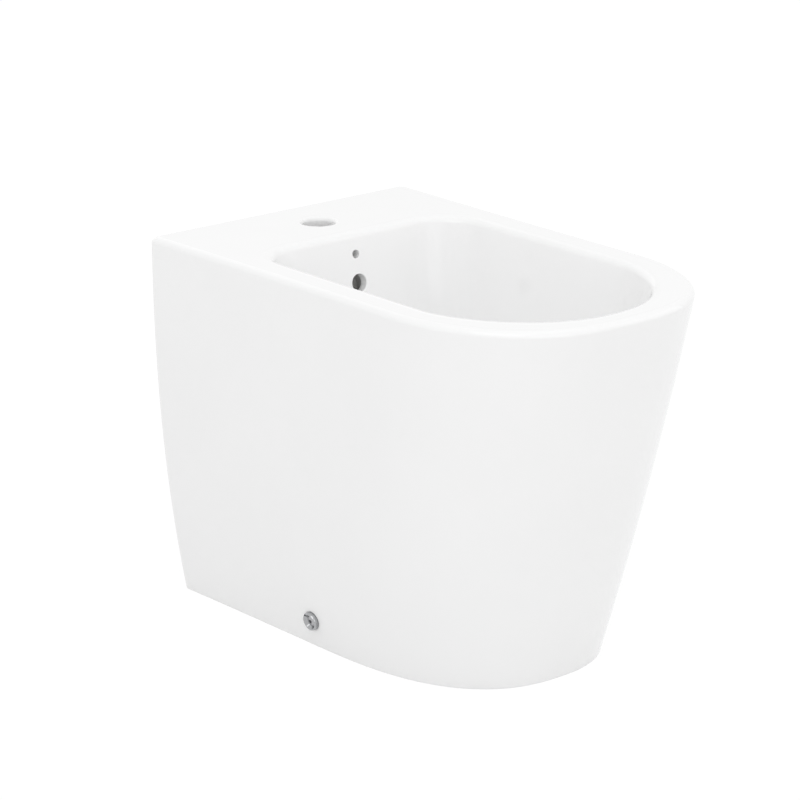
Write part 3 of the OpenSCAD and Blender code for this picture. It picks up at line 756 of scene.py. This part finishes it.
def glazed_levels(s):
    """From the seat of the waste over the basin and the rim down to the foot"""
    seat = s.height - s.basin_depth
    foot_of_wall = arc_at(s, 0.0, 0.0)[2]
    lip_start = math.tan(s.wall_lean) * s.lip_round * (1 - math.sin(s.wall_lean)) \
        - s.lip_round * math.cos(s.wall_lean)
    lip_foot = s.height - s.lip_round * (1 - math.sin(s.wall_lean))
    skirt_top = s.height - s.rim_round
    levels = [disc_level(s, CORE_RADIUS, seat)]
    levels += [disc_level(s, mix(RECESS_RADIUS - EDGE, RECESS_RADIUS + RECESS_EDGE, t),
                          seat + RECESS_DEPTH * t * t * (3 - 2 * t)) for t in steps(8)]
    levels += [floor_level(s, t, 0.0, FLOOR_START) for t in steps(12, 1)[:-1]]
    levels += [basin_level(s, *arc_at(s, 1 - t, 0.0)) for t in steps(14)]
    levels += [basin_level(s, *wall_at(s, mix(foot_of_wall, lip_foot, t), 0.0)) for t in steps(9, 1)[:-1]]
    for share in steps(10):
        turn = (1 - share) * (math.pi / 2 - s.wall_lean)
        levels.append(basin_level(s, lip_start + s.lip_round * math.sin(turn), 0.0,
                                  s.height - s.lip_round * (1 - math.cos(turn))))
    levels.append(basin_level(s, lip_start - EDGE, 0.0, s.height))
    levels.append(skirt_level(s, skirt_top, s.rim_round + EDGE, at=s.height))
    for sine, cosine in reversed(quarters(8)):
        levels.append(skirt_level(s, skirt_top, s.rim_round * (1 - cosine), at=skirt_top + s.rim_round * sine))
    levels += [skirt_level(s, skirt_top * (1 - t), 0.0) for t in steps(40, 1)[:-1]]
    for sine, cosine in quarters(4):
        levels.append(skirt_level(s, FOOT_ROUND * (1 - sine), FOOT_ROUND * (1 - cosine)))
    return levels


def raw_levels(s):
    """From the foot up inside the skirt, under the deck and in under the basin to the boss of the waste"""
    seat = s.height - s.basin_depth
    under = s.height - s.deck_wall
    boss_foot = seat - BOSS_DEPTH
    levels = []
    for sine, cosine in quarters(3):
        levels.append(skirt_level(s, FOOT_ROUND * (1 - cosine), s.skirt_wall - FOOT_ROUND * (1 - sine), RAW))
    levels += [skirt_level(s, mix(FOOT_ROUND, under - INNER_FILLET, t), s.skirt_wall, RAW)
               for t in steps(14, 1)[:-1]]
    for sine, cosine in quarters(4):
        levels.append(skirt_level(s, under - INNER_FILLET * (1 - sine),
                                  s.skirt_wall + INNER_FILLET * (1 - cosine), RAW))
    for sine, cosine in quarters(4):
        inset, wall, z = wall_at(s, under - INNER_FILLET * (1 - cosine), s.basin_wall)
        levels.append(basin_level(s, inset, wall + INNER_FILLET * (1 - sine), z, RAW))
    foot_of_wall = arc_at(s, 0.0, s.basin_wall)[2]
    levels += [basin_level(s, *wall_at(s, mix(under - INNER_FILLET, foot_of_wall, t), s.basin_wall), RAW)
               for t in steps(6, 1)[:-1]]
    levels += [basin_level(s, *arc_at(s, t, s.basin_wall), RAW) for t in steps(10)]
    levels += [floor_level(s, 1 - t, s.basin_wall, BOSS_RADIUS, RAW) for t in steps(8, 1)[:-1]]
    for sine, cosine in quarters(3):
        levels.append(disc_level(s, BOSS_RADIUS + BOSS_FILLET * (1 - sine),
                                 seat + RECESS_DEPTH - s.basin_wall - BOSS_FILLET * (1 - cosine), RAW))
    for sine, cosine in quarters(3):
        levels.append(disc_level(s, BOSS_RADIUS - BOSS_ROUND * (1 - cosine),
                                 boss_foot + BOSS_ROUND * (1 - sine), RAW))
    levels.append(disc_level(s, CORE_RADIUS, boss_foot, RAW))
    return levels


def loft(name, rings):
    """A closed solid through rings of points"""
    shape = bmesh.new()
    rows = [[shape.verts.new(point) for point in ring] for ring in rings]
    for low, high in zip(rows, rows[1:]):
        for i in range(len(low)):
            j = (i + 1) % len(low)
            shape.faces.new((low[i], low[j], high[j], high[i]))
    shape.faces.new(rows[0][::-1])
    shape.faces.new(rows[-1])
    bmesh.ops.recalc_face_normals(shape, faces=shape.faces)
    return made(name, shape)


def strip(s, name, width, rise, near, far, bevel):
    """A strip that follows the back of the basin's rear wall from above the overflow hole to the boss"""
    seat = s.height - s.basin_depth

    def line(out):
        points = [wall_at(s, s.height - s.overflow_drop + rise, out)] + [arc_at(s, t, out) for t in steps(12)]
        path = [(BACK - s.mouth_back - inset + wall, z) for inset, wall, z in points]
        return path + [(BOSS_RADIUS + 0.004, seat + RECESS_DEPTH - out), (BOSS_RADIUS - 0.014, seat - out)]

    section = line(near) + line(far)[::-1]
    piece = loft(name, [[(side * width / 2, y, z) for y, z in section] for side in (-1, 1)])
    if not bevel:
        return piece
    modifier = piece.modifiers.new("bevel", "BEVEL")
    modifier.width = bevel
    modifier.segments = 4
    modifier.angle_limit = math.radians(50)
    return plain(name, piece)


def service_cutter(s, name, half_width, top, corner, edge):
    """The opening in the back for the pipes, open at the floor, with rounded edges"""

    def outline(out):
        right = [(half_width + out, -BELOW_FLOOR)]
        for sine, cosine in quarters(10):
            right.append((half_width - corner + (corner + out) * cosine, top - corner + (corner + out) * sine))
        return right + [(-x, z) for x, z in reversed(right)]

    inner = -s.skirt_wall
    depths = [(PAST_FACE, edge)]
    depths += [(-edge * (1 - cosine), edge * (1 - sine)) for sine, cosine in quarters(5)]
    depths += [(inner + edge * (1 - sine), edge * (1 - cosine)) for sine, cosine in quarters(5)]
    depths.append((inner - PAST_SKIRT, edge))
    return loft(name, [[(x, BACK + y, z) for x, z in outline(out)] for y, out in depths])


def mouth_section(radius, flare, length, above=0.004):
    """A cutter's section for a round hole with a rounded mouth. Z is 0 at the glazed face."""
    points = [(0.0, -length), (radius, -length)]
    for sine, cosine in quarters(6):
        points.append((radius + flare * (1 - cosine), -flare * (1 - sine)))
    return points + [(radius + flare, above), (0.0, above)]


def wall_hole_place(s, drop):
    """Where a hole goes square through the basin's rear wall, its +Z into the basin"""
    inset, _, z = wall_at(s, s.height - drop, 0.0)
    return Matrix.Translation((0, BACK - s.mouth_back - inset, z)) @ \
        Matrix.Rotation(math.pi / 2 - s.wall_lean, 4, "X")


def fixing_values():
    """Place and lean of the side fixings, worked out from the skirt"""
    s, f = bpy.context.scene.bidet_casting, bpy.context.scene.bidet_fixings
    rise = 1 - (1 - f.height / s.height) ** s.side_bulge
    slope = (s.top_waist - s.foot_waist) / 2 * s.side_bulge * (1 - f.height / s.height) ** (s.side_bulge - 1)
    return {"Out": mix(s.foot_waist, s.top_waist, rise) / 2, "Along": BACK - f.back, "Up": f.height,
            "Lean": math.atan(slope / s.height)}


def instanced(name, piece, title, make, values, material):
    """Copies of a piece, placed by a geometry tree"""
    mesh = piece.data
    bpy.data.objects.remove(piece)
    return run_tree(name, mesh, tree_named(title, make), values, material)


def paired(name, piece, material):
    """A copy of a piece at each side fixing"""
    return instanced(name, piece, "Pair on the skirt", pair_tree, fixing_values(), material)


def coated(piece, raw):
    """Gives a cutter the casting's two surfaces, so that what it cuts is glazed or left raw"""
    piece.data.materials.clear()
    for material in (finish("glaze"), finish("clay")):
        piece.data.materials.append(material)
    for face in piece.data.polygons:
        face.material_index = int(raw)
    return piece


def make_casting():
    s, m = bpy.context.scene.bidet_casting, bpy.context.scene.bidet_mesh
    seat = s.height - s.basin_depth
    levels = glazed_levels(s) + raw_levels(s)
    values = {"Back steps": m.back_steps, "Corner steps": m.corner_steps, "Side steps": m.side_steps,
              "Nose steps": m.nose_steps}
    skin = run_tree("casting", section_mesh("casting", levels, PLAN_NAMES),
                    tree_named("D-shaped plan", plan_tree), values, finish("glaze"))
    edit(skin, close_ends)
    coated(skin, False)
    raw = skin.data.attributes["raw"].data
    for face in skin.data.polygons:
        face.material_index = int(sum(raw[i].value for i in face.vertices) / len(face.vertices) > 0.3)
    skin.data.attributes.remove(skin.data.attributes["raw"])

    def cutter(name, section, columns, raw=False):
        """A turned cutter that leaves glaze or raw clay"""
        return coated(turned(name, section, finish("glaze"), columns=columns), raw)

    def hole(name, diameter, flare, depth, columns):
        """The cutter of a drilled hole whose mouth flares out in a round"""
        return cutter(name, mouth_section(diameter / 2, flare, depth), columns)

    housing = coated(strip(s, "overflow_housing", *HOUSING), True)
    passage = coated(strip(s, "overflow_passage", *PASSAGE), True)
    overflow = placed(hole("overflow_cut", s.overflow_hole, 0.0012, 0.014, 64), wall_hole_place(s, s.overflow_drop))
    small = placed(hole("small_cut", s.small_hole, 0.0008, 0.018, 48), wall_hole_place(s, s.small_drop))
    tap = placed(hole("tap_cut", s.tap_hole, s.tap_round, 0.016, 96),
                 Matrix.Translation((0, BACK - s.tap_back, s.height)))
    bore, (room, room_foot, room_top) = s.waste_hole / 2, CHAMBER
    waste = cutter("waste_cut", [(0, -WASTE_CUT), (bore, -WASTE_CUT), (bore, -EDGE), (bore + EDGE, 0.0),
                                 (bore + EDGE, PAST_FACE), (0, PAST_FACE)], 96, True)
    chamber = cutter("chamber_cut", [(0, room_foot), (room, room_foot), (room, room_top), (0, room_top)], None, True)
    for piece in (waste, chamber):
        placed(piece, Matrix.Translation((0, 0, seat)))
    clear, seat_foot, seat_mouth, seat_depth = SIDE_HOLE
    side = cutter("side_cut", [(0, -SIDE_CUT), (clear, -SIDE_CUT), (clear, -seat_depth), (seat_foot, -seat_depth),
                               (seat_mouth, 0.0), (seat_mouth, PAST_SKIRT), (0, PAST_SKIRT)], 64)
    sides = coated(paired("side_cuts", side, finish("glaze")), False)
    service = coated(service_cutter(s, "service_cut", *SERVICE_OPENING), True)
    casting = carved(skin, [passage, overflow, small, waste, chamber, tap, sides, service], [housing])
    fit(casting, "ceramic_body")


# ---- waste, plug, trap and fixings

def mm(points, round_by=0.0, arc=4):
    """Turns (radius, height) points in millimetres into a section in metres with rounded corners. A point may
    also carry its own rounding and its grip."""
    section = []
    corners = [Vector((point[0] * MM, point[1] * MM)) for point in points]
    for i, (here, point) in enumerate(zip(corners, points)):
        size, grip = (*point[2:], *(round_by, 0.0)[len(point) - 2:])
        to_last, to_next = corners[i - 1] - here, corners[(i + 1) % len(corners)] - here
        reach = min(size * MM, to_last.length * 0.45, to_next.length * 0.45)
        if reach <= 0 or here.x < 1e-9:
            section.append((*here, grip))
            continue
        start, end = here + to_last.normalized() * reach, here + to_next.normalized() * reach
        section += [(*(start * (1 - t) ** 2 + here * 2 * t * (1 - t) + end * t ** 2), grip) for t in steps(arc)]
    return section


def washer(name, outer, inner, z, thickness, material, round_by=0.4):
    """A flat ring, its edges softened"""
    return turned(name, loop(mm([(inner, z), (outer, z), (outer, z + thickness), (inner, z + thickness)],
                                round_by)), material)


def ringed(name, piece, count, first_angle, material):
    """Copies of a piece in a ring about Z"""
    return instanced(name, piece, "Ring of copies", ring_tree, {"Count": count, "First angle": first_angle}, material)


def coil(name, turns, radius, bottom, climb, wire, material, top_radius=None, detail=28, sides=10):
    """A wound wire that starts at a height in millimetres"""
    values = {"Turns": float(turns), "Steps per turn": detail, "Bottom radius": radius * MM,
              "Top radius": (top_radius or radius) * MM, "Height": climb * MM, "Wire": wire * MM, "Sides": sides}
    piece = run_tree(name, section_mesh(name, [(0,)], ("seed",)), tree_named("Coil", coil_tree), values, material)
    return placed(piece, Matrix.Translation((0, 0, bottom * MM)))


def joined(name, pieces, material):
    """Puts several meshes in one object of one material"""
    shape = bmesh.new()
    for piece in pieces:
        shape.from_mesh(piece.data)
        bpy.data.objects.remove(piece)
    for face in shape.faces:
        face.material_index = 0
    result = made(name, shape)
    result.data.materials.append(material)
    return result


def softened(name, node, material, bevel, crease=35):
    """A copy of a node, its triangles merged into true faces and its edges rounded"""
    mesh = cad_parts[node].data.copy()
    mesh.name = name
    mesh.materials.clear()
    mesh.materials.append(material)
    piece = linked(name, mesh)

    def merge(shape):
        bmesh.ops.remove_doubles(shape, verts=shape.verts, dist=1e-6)
        bmesh.ops.dissolve_limit(shape, angle_limit=math.radians(1), verts=shape.verts, edges=shape.edges)
        for face in shape.faces:
            face.material_index = 0

    edit(piece, merge)
    mesh.shade_smooth()
    modifier = piece.modifiers.new("bevel", "BEVEL")
    modifier.width = bevel
    modifier.segments = 3
    modifier.angle_limit = math.radians(crease)
    modifier.use_clamp_overlap = True
    return creased(plain(name, piece), crease)


def make_waste():
    metal, dark, white, yellow = finish("chrome"), finish("rubber"), finish("white_plastic"), finish("brass")
    seal = washer("flange_seal", 31, 22.5, 232, 2, dark, 0.6)
    body = turned("waste_tail", loop(mm([
        (18.2, 152), (20.9, 152), (20.9, 227), (22.2, 228), (22.2, 234), (31.6, 234, 0.4), (32, 235.6, 1.2),
        (30, 237, 1.2), (27, 237, 2.0), (24, 236.3, 2.5), (18.2, 232, 3.0)], 0.4, 6)), metal)
    # an overflow slot in the tail, its corners rounded, and an arm of the spider that holds the cartridge
    slot = block("slot", (0.012, -0.008, 0.2085), (0.024, 0.008, 0.2195))
    edit(slot, lambda shape: bmesh.ops.bevel(
        shape, geom=[e for e in shape.edges if abs(e.verts[0].co.x - e.verts[1].co.x) > 0.001],
        offset=0.003, segments=5, affect="EDGES", profile=0.5))
    arm = block("arm", (0.0085, -0.0013, 0.188), (0.0192, 0.0013, 0.196))
    arms = ringed("arms", arm, 4, 0.0, metal)
    hub = turned("hub", loop(mm([(7.5, 188), (10.5, 188), (10.5, 196), (7.5, 196)], 0.5)), metal)
    slots = ringed("slots", slot, 4, math.pi / 4, metal)
    body = carved(body, [slots], [arms, hub])
    thread = coil("thread", 13, 20.65, 154, 26, 0.45, metal, detail=64, sides=8)
    fit(seal, "waste_seal")
    fit(joined("waste_flange_and_tail", [body, thread], metal), "waste_body")
    cone = turned("cone_seal", loop(mm([(20.95, 180), (26.9, 180), (26.9, 188), (22.4, 188), (21.6, 193),
                                        (20.95, 193)], 0.5)), dark)
    fit(cone, "waste_cone_seal")
    fit(washer("slip_washer", 27.4, 20.95, 178, 2, white, 0.4), "waste_slip_washer")
    fit(softened("back_nut", "waste_nut", yellow, 0.0007), "waste_nut")


def make_plug():
    metal, dark, white, dull = finish("chrome"), finish("rubber"), finish("white_plastic"), finish("steel")
    # the cap is one section: rod end, groove for the seal, rim and dome
    dome = [(27 * cosine, 247 + 3.4 * sine, 0.0) for sine, cosine in quarters(22)]
    cap = turned("plug_dome", mm([
        (0, 244.9), (3.02, 244.9), (3.02, 241.4), (19.3, 241.4, 0.5), (19.3, 242.0), (17.8, 242.0), (17.8, 244.6),
        (19.3, 244.6), (19.3, 245.4, 0.3), (26.4, 245.4, 0.5), (27, 246.0, 0.5)] + dome, 0.1), metal, columns=128)
    stem = turned("plug_rod", mm([(0, 211.7), (4.6, 211.7), (5.2, 212.3), (5.2, 216.7), (3, 216.7, 0.3),
                                  (3, 244.9), (0, 244.9)], 0.2), dull)
    ring = washer("plug_ring", 20.3, 17.82, 242.05, 2.5, dark, 1.1)
    fit(cap, "plug_cap", PLUG)
    fit(stem, "plug_stem", PLUG)
    fit(ring, "plug_seal", PLUG)
    cartridge = turned("click_cartridge", mm([
        (0, 186), (6.5, 186), (7.45, 187), (7.45, 196), (9, 196), (9, 199), (7.5, 199), (7.5, 219), (6.5, 220),
        (3.06, 220), (3.06, 217), (5.26, 217), (5.26, 188), (0, 188)], 0.25), white)
    fit(cartridge, "plug_cartridge")
    spring = coil("return_spring", 7, 4.3, 188.5, 22.7, 0.5, dull, detail=32, sides=12)
    fit(spring, "plug_spring")
    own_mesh(spring)


# scallops round the plastic nuts and the trap's cup: count, depth in metres, width as a share
GRIPS = (12, 0.0014, 0.43)
GRIP_COLUMNS = 288
TRAP_OUTLET = 0.103


def make_trap():
    dark, white = finish("rubber"), finish("white_plastic")

    def part(piece, node):
        fit(piece, node)

    def nut(name, section):
        return turned(name, loop(mm(section, 0.5)), white, GRIPS, GRIP_COLUMNS)

    def along(piece, y):
        """Lays a turned piece along the outlet"""
        return placed(piece, Matrix.Translation((0, y * MM, TRAP_OUTLET)) @ Matrix.Rotation(-math.pi / 2, 4, "X"))

    part(nut("union_nut", [(16.3, 145), (27, 145, 1.5, 1), (27, 164, 1.5, 1), (20.95, 164), (20.95, 148),
                           (16.3, 148)]), "trap_nut")
    part(washer("union_washer", 20.5, 14.4, 150, 2, dark), "trap_washer")
    part(turned("dip_tube", loop(mm([(14.4, 32), (16, 32), (16, 148), (20.5, 148), (20.5, 150), (14.4, 150)], 0.3)),
                white), "trap_dip_tube")
    part(nut("slip_nut", [(20.05, 125), (26, 125, 1.5, 1), (26, 143, 1.5, 1), (16.3, 143), (16.3, 140),
                          (20.05, 140)]), "trap_slip_nut")
    part(washer("slip_ring", 19.5, 16.05, 137, 3, dark, 0.8), "trap_slip_washer")

    bottle = turned("bottle", mm([(0, 70), (30, 70, 0.4), (30, 120, 4), (20, 125, 2), (20, 137), (0, 137)], 0.4),
                    white, columns=128)
    branch = along(turned("branch", mm([(0, 0), (18.6, 0), (18.6, 54), (0, 54)], 0.6), white), 0)
    inside = turned("inside", mm([(0, 69), (27, 69), (27, 118.4, 3), (16.3, 123.6, 1), (16.3, 138), (0, 138)], 0.2),
                    white)
    bore = along(turned("bore", mm([(0, 0), (14.4, 0), (14.4, 40), (16.2, 40), (16.2, 55), (0, 55)]), white), 0)
    part(carved(bottle, [inside, bore], [branch]), "trap_body")
    part(washer("cup_ring", 30, 27.4, 68, 2, dark), "trap_cup_seal")
    part(turned("bottle_cup", mm([
        (0, 20), (24, 20, 3), (30, 26, 3), (30, 28, 0.3), (32.6, 28, 1, 1), (32.6, 44, 1, 1), (30, 44, 0.3),
        (30, 62, 2), (33, 65, 2), (33, 82, 0.6), (30.05, 82), (30.05, 68), (27, 68), (27, 30, 2), (22, 23, 2),
        (0, 23)], 0.3),
        white, GRIPS, GRIP_COLUMNS), "trap_cup")
    part(along(nut("outlet_nut", [(18.65, 0), (24, 0, 1.5, 1), (24, 21, 1.5, 1), (16.3, 21), (16.3, 18),
                                  (18.65, 18)]), 40), "trap_outlet_nut")
    part(along(washer("outlet_ring", 18.4, 16.05, 0, 4, dark, 0.8), 54), "trap_outlet_washer")
    part(along(turned("outlet_pipe", loop(mm([
        (14.4, 0), (16, 0), (16, 169.5), (17, 171, 1), (16, 172.5), (16, 232), (14.4, 232)], 0.4, 5)), white), 41),
        "trap_outlet_pipe")


def make_fixings():
    f = bpy.context.scene.bidet_fixings
    metal, dull, white, grey = finish("chrome"), finish("steel"), finish("white_plastic"), finish("grey_plastic")
    lean = fixing_values()["Lean"]
    # the bracket's leg leans with the skirt, 14 to 21 mm in from its face, and the screw ends 8 mm past it
    leg_outer = -14 * math.cos(lean)
    leg_inner = leg_outer - 7 * math.cos(lean)
    end = leg_inner - 8
    cup_r, proud = f.cup_radius / MM, f.cup_proud / MM
    cup = turned("cup", loop(mm([
        (3.3, -0.6), (cup_r, -0.6, 0.2), (cup_r, proud - 1.6, 1.5), (cup_r - 0.9, proud, 0.9), (8.2, proud, 0.6),
        (5.6, 1.3, 0.8), (5.6, 0.9, 0.1), (3.3, 0.9)], 0.2, 8)), metal)
    nick = placed(block("nick", (0.0066, -0.0014, f.cup_proud - 0.0022), (f.cup_radius + 0.001, 0.0014, 0.009)),
                  Matrix.Rotation(f.nick_turn, 4, "Z"))
    cup = carved(cup, [nick])
    head = f.head_radius / MM
    screw = turned("screw", mm([
        (0, end), (2.2, end), (3, end + 0.8), (3, 0.9, 0.1), (head, 0.9, 0.2), (head, 1.9, 0.8), (0, 3.0)], 0.3, 6),
        dull)
    socket = turned("socket", [(0, 0.0005), (f.socket / 2 / math.cos(math.pi / 6), 0.0005),
                               (f.socket / 2 / math.cos(math.pi / 6), 0.006), (0, 0.006)], dull, columns=6)
    screw = carved(screw, [socket])
    thread = coil("screw_thread", 14, 2.85, end + 0.8, 14, 0.28, dull, detail=24, sides=6)
    sleeve = turned("sleeve", loop(mm([(3.3, leg_outer), (6.1, leg_outer), (6.1, -0.6), (3.3, -0.6)], 0.3)), white)
    fit(paired("cup_washers", cup, metal), "fixing_cups")
    fit(paired("side_screws", joined("screw", [screw, thread], dull), dull), "fixing_screws")
    fit(paired("hole_sleeves", sleeve, white), "fixing_sleeves")
    fit(softened("floor_brackets", "fixing_brackets", grey, 0.0009), "fixing_brackets")
    fit(softened("bracket_nuts", "fixing_nuts", dull, 0.0003), "fixing_nuts")


# ---- stage

# the seen floor is a little more than white, and this share of it takes no shadow
FLOOR_GLOW = 1.03
WHITE_SHARE = 0.93
FLOOR_SIZE = 30


def seen_directly(tree):
    """1 for rays that show the background itself: camera, glossy and transmission rays"""
    path = tree.nodes.new("ShaderNodeLightPath")
    seen = Rule(tree, path.outputs["Is Camera Ray"])
    for name in ("Is Glossy Ray", "Is Transmission Ray"):
        seen = seen.run("MAXIMUM", Rule(tree, path.outputs[name]))
    return seen


def floor_material(tint):
    """White where it is seen, with a trace of the object's shadow, and plain pale grey to the light"""
    material = bpy.data.materials.new("pale_floor")
    material.use_nodes = True
    tree = material.node_tree
    tree.nodes.remove(tree.nodes["Principled BSDF"])
    plain_light = add(tree, "ShaderNodeBsdfDiffuse", {"Color": (*tint, 1.0)})
    white = add(tree, "ShaderNodeEmission", {"Color": (1, 1, 1, 1), "Strength": FLOOR_GLOW})
    share = seen_directly(tree) * WHITE_SHARE
    both = add(tree, "ShaderNodeMixShader", {0: share, 1: plain_light.outputs[0], 2: white.outputs[0]})
    tree.links.new(both.outputs[0], tree.nodes["Material Output"].inputs["Surface"])
    return material


# place, side and power of the square lamps, and the middle of the bidet that they all face
LAMP_TARGET = (0, 0, 0.2)
LAMPS = {
    "top_softbox": ((0, 0, 3.4), 3.0, 4.8),
    "right_softbox": ((3.0, -1.8, 1.6), 2.6, 8),
    "front_softbox": ((-1.0, -3.6, 1.6), 2.6, 10.6),
    "rear_softbox": ((0.6, 3.4, 1.9), 2.6, 5.1),
    "overleft_softbox": ((-2.2, -1.2, 3.0), 2.4, 18),
}


def make_stage():
    stage = bpy.context.scene.bidet_stage
    camera = linked("camera", bpy.data.cameras.new("camera"))
    bpy.context.scene.camera = camera
    camera.data.lens = stage.lens
    camera.data.shift_y = stage.shift
    target = Vector(stage.target)
    level = math.cos(stage.elevation)
    away = Vector((math.sin(stage.azimuth) * level, -math.cos(stage.azimuth) * level, math.sin(stage.elevation)))
    camera.location = target + away * stage.distance
    camera.rotation_euler = (-away).to_track_quat("-Z", "Y").to_euler()

    floor = block("floor", (-FLOOR_SIZE, -FLOOR_SIZE, -0.02), (FLOOR_SIZE, FLOOR_SIZE, -0.0001))
    floor.data.materials.append(floor_material(stage.floor))
    for name, (place, side, power) in LAMPS.items():
        lamp = linked(name, bpy.data.lights.new(name, "AREA"))
        lamp.data.shape = "RECTANGLE"
        lamp.data.size = lamp.data.size_y = side
        lamp.data.energy = power
        lamp.location = place
        lamp.rotation_euler = (Vector(LAMP_TARGET) - Vector(place)).to_track_quat("-Z", "Y").to_euler()

    world = bpy.data.worlds.new("studio")
    bpy.context.scene.world = world
    world.use_nodes = True
    tree = world.node_tree
    background = tree.nodes["Background"]
    background.inputs["Color"].default_value = (1, 1, 1, 1)
    strength = seen_directly(tree) * (1.0 - stage.sky) + stage.sky
    tree.links.new(strength.socket, background.inputs["Strength"])
    bpy.context.scene.view_settings.view_transform = "Standard"


# ---- add-on

class Maker:
    """Runs the function that makes an operator's pieces"""

    def execute(self, context):
        self.make()
        return {"FINISHED"}


class BIDET_OT_stage(Maker, bpy.types.Operator):
    """Sets the camera, the pale floor and the soft light"""
    bl_idname, bl_label, make = "bidet.stage", "Stage", staticmethod(make_stage)


class BIDET_OT_casting(Maker, bpy.types.Operator):
    """Makes the glazed casting with its basin, holes and open back"""
    bl_idname, bl_label, make = "bidet.casting", "Casting", staticmethod(make_casting)


class BIDET_OT_waste(Maker, bpy.types.Operator):
    """Makes the waste, its seals and its nut"""
    bl_idname, bl_label, make = "bidet.waste", "Waste", staticmethod(make_waste)


class BIDET_OT_plug(Maker, bpy.types.Operator):
    """Makes the plug, its cartridge and its spring"""
    bl_idname, bl_label, make = "bidet.plug", "Plug", staticmethod(make_plug)


class BIDET_OT_trap(Maker, bpy.types.Operator):
    """Makes the bottle trap and the outlet pipe"""
    bl_idname, bl_label, make = "bidet.trap", "Trap", staticmethod(make_trap)


class BIDET_OT_fixings(Maker, bpy.types.Operator):
    """Makes the side screws, cup washers, sleeves, brackets and nuts"""
    bl_idname, bl_label, make = "bidet.fixings", "Fixings", staticmethod(make_fixings)


class BIDET_PT_panel(bpy.types.Panel):
    """Lists the pieces of the bidet"""
    bl_label = "Bidet"
    bl_idname = "BIDET_PT_panel"
    bl_space_type = "VIEW_3D"
    bl_region_type = "UI"
    bl_category = "Bidet"

    def draw(self, context):
        for operator in OPERATORS:
            self.layout.operator(operator.bl_idname)


OPERATORS = (BIDET_OT_stage, BIDET_OT_casting, BIDET_OT_waste, BIDET_OT_plug, BIDET_OT_trap, BIDET_OT_fixings)


def register():
    for kind in (*GROUPS.values(), *OPERATORS, BIDET_PT_panel):
        bpy.utils.register_class(kind)
    for name, kind in GROUPS.items():
        setattr(bpy.types.Scene, name, PointerProperty(type=kind))


def unregister():
    for name in GROUPS:
        delattr(bpy.types.Scene, name)
    for kind in (BIDET_PT_panel, *OPERATORS, *GROUPS.values()):
        bpy.utils.unregister_class(kind)


def main():
    register()
    for operator in OPERATORS:
        group, name = operator.bl_idname.split(".")
        getattr(getattr(bpy.ops, group), name)()


if __name__ == "__main__":
    main()
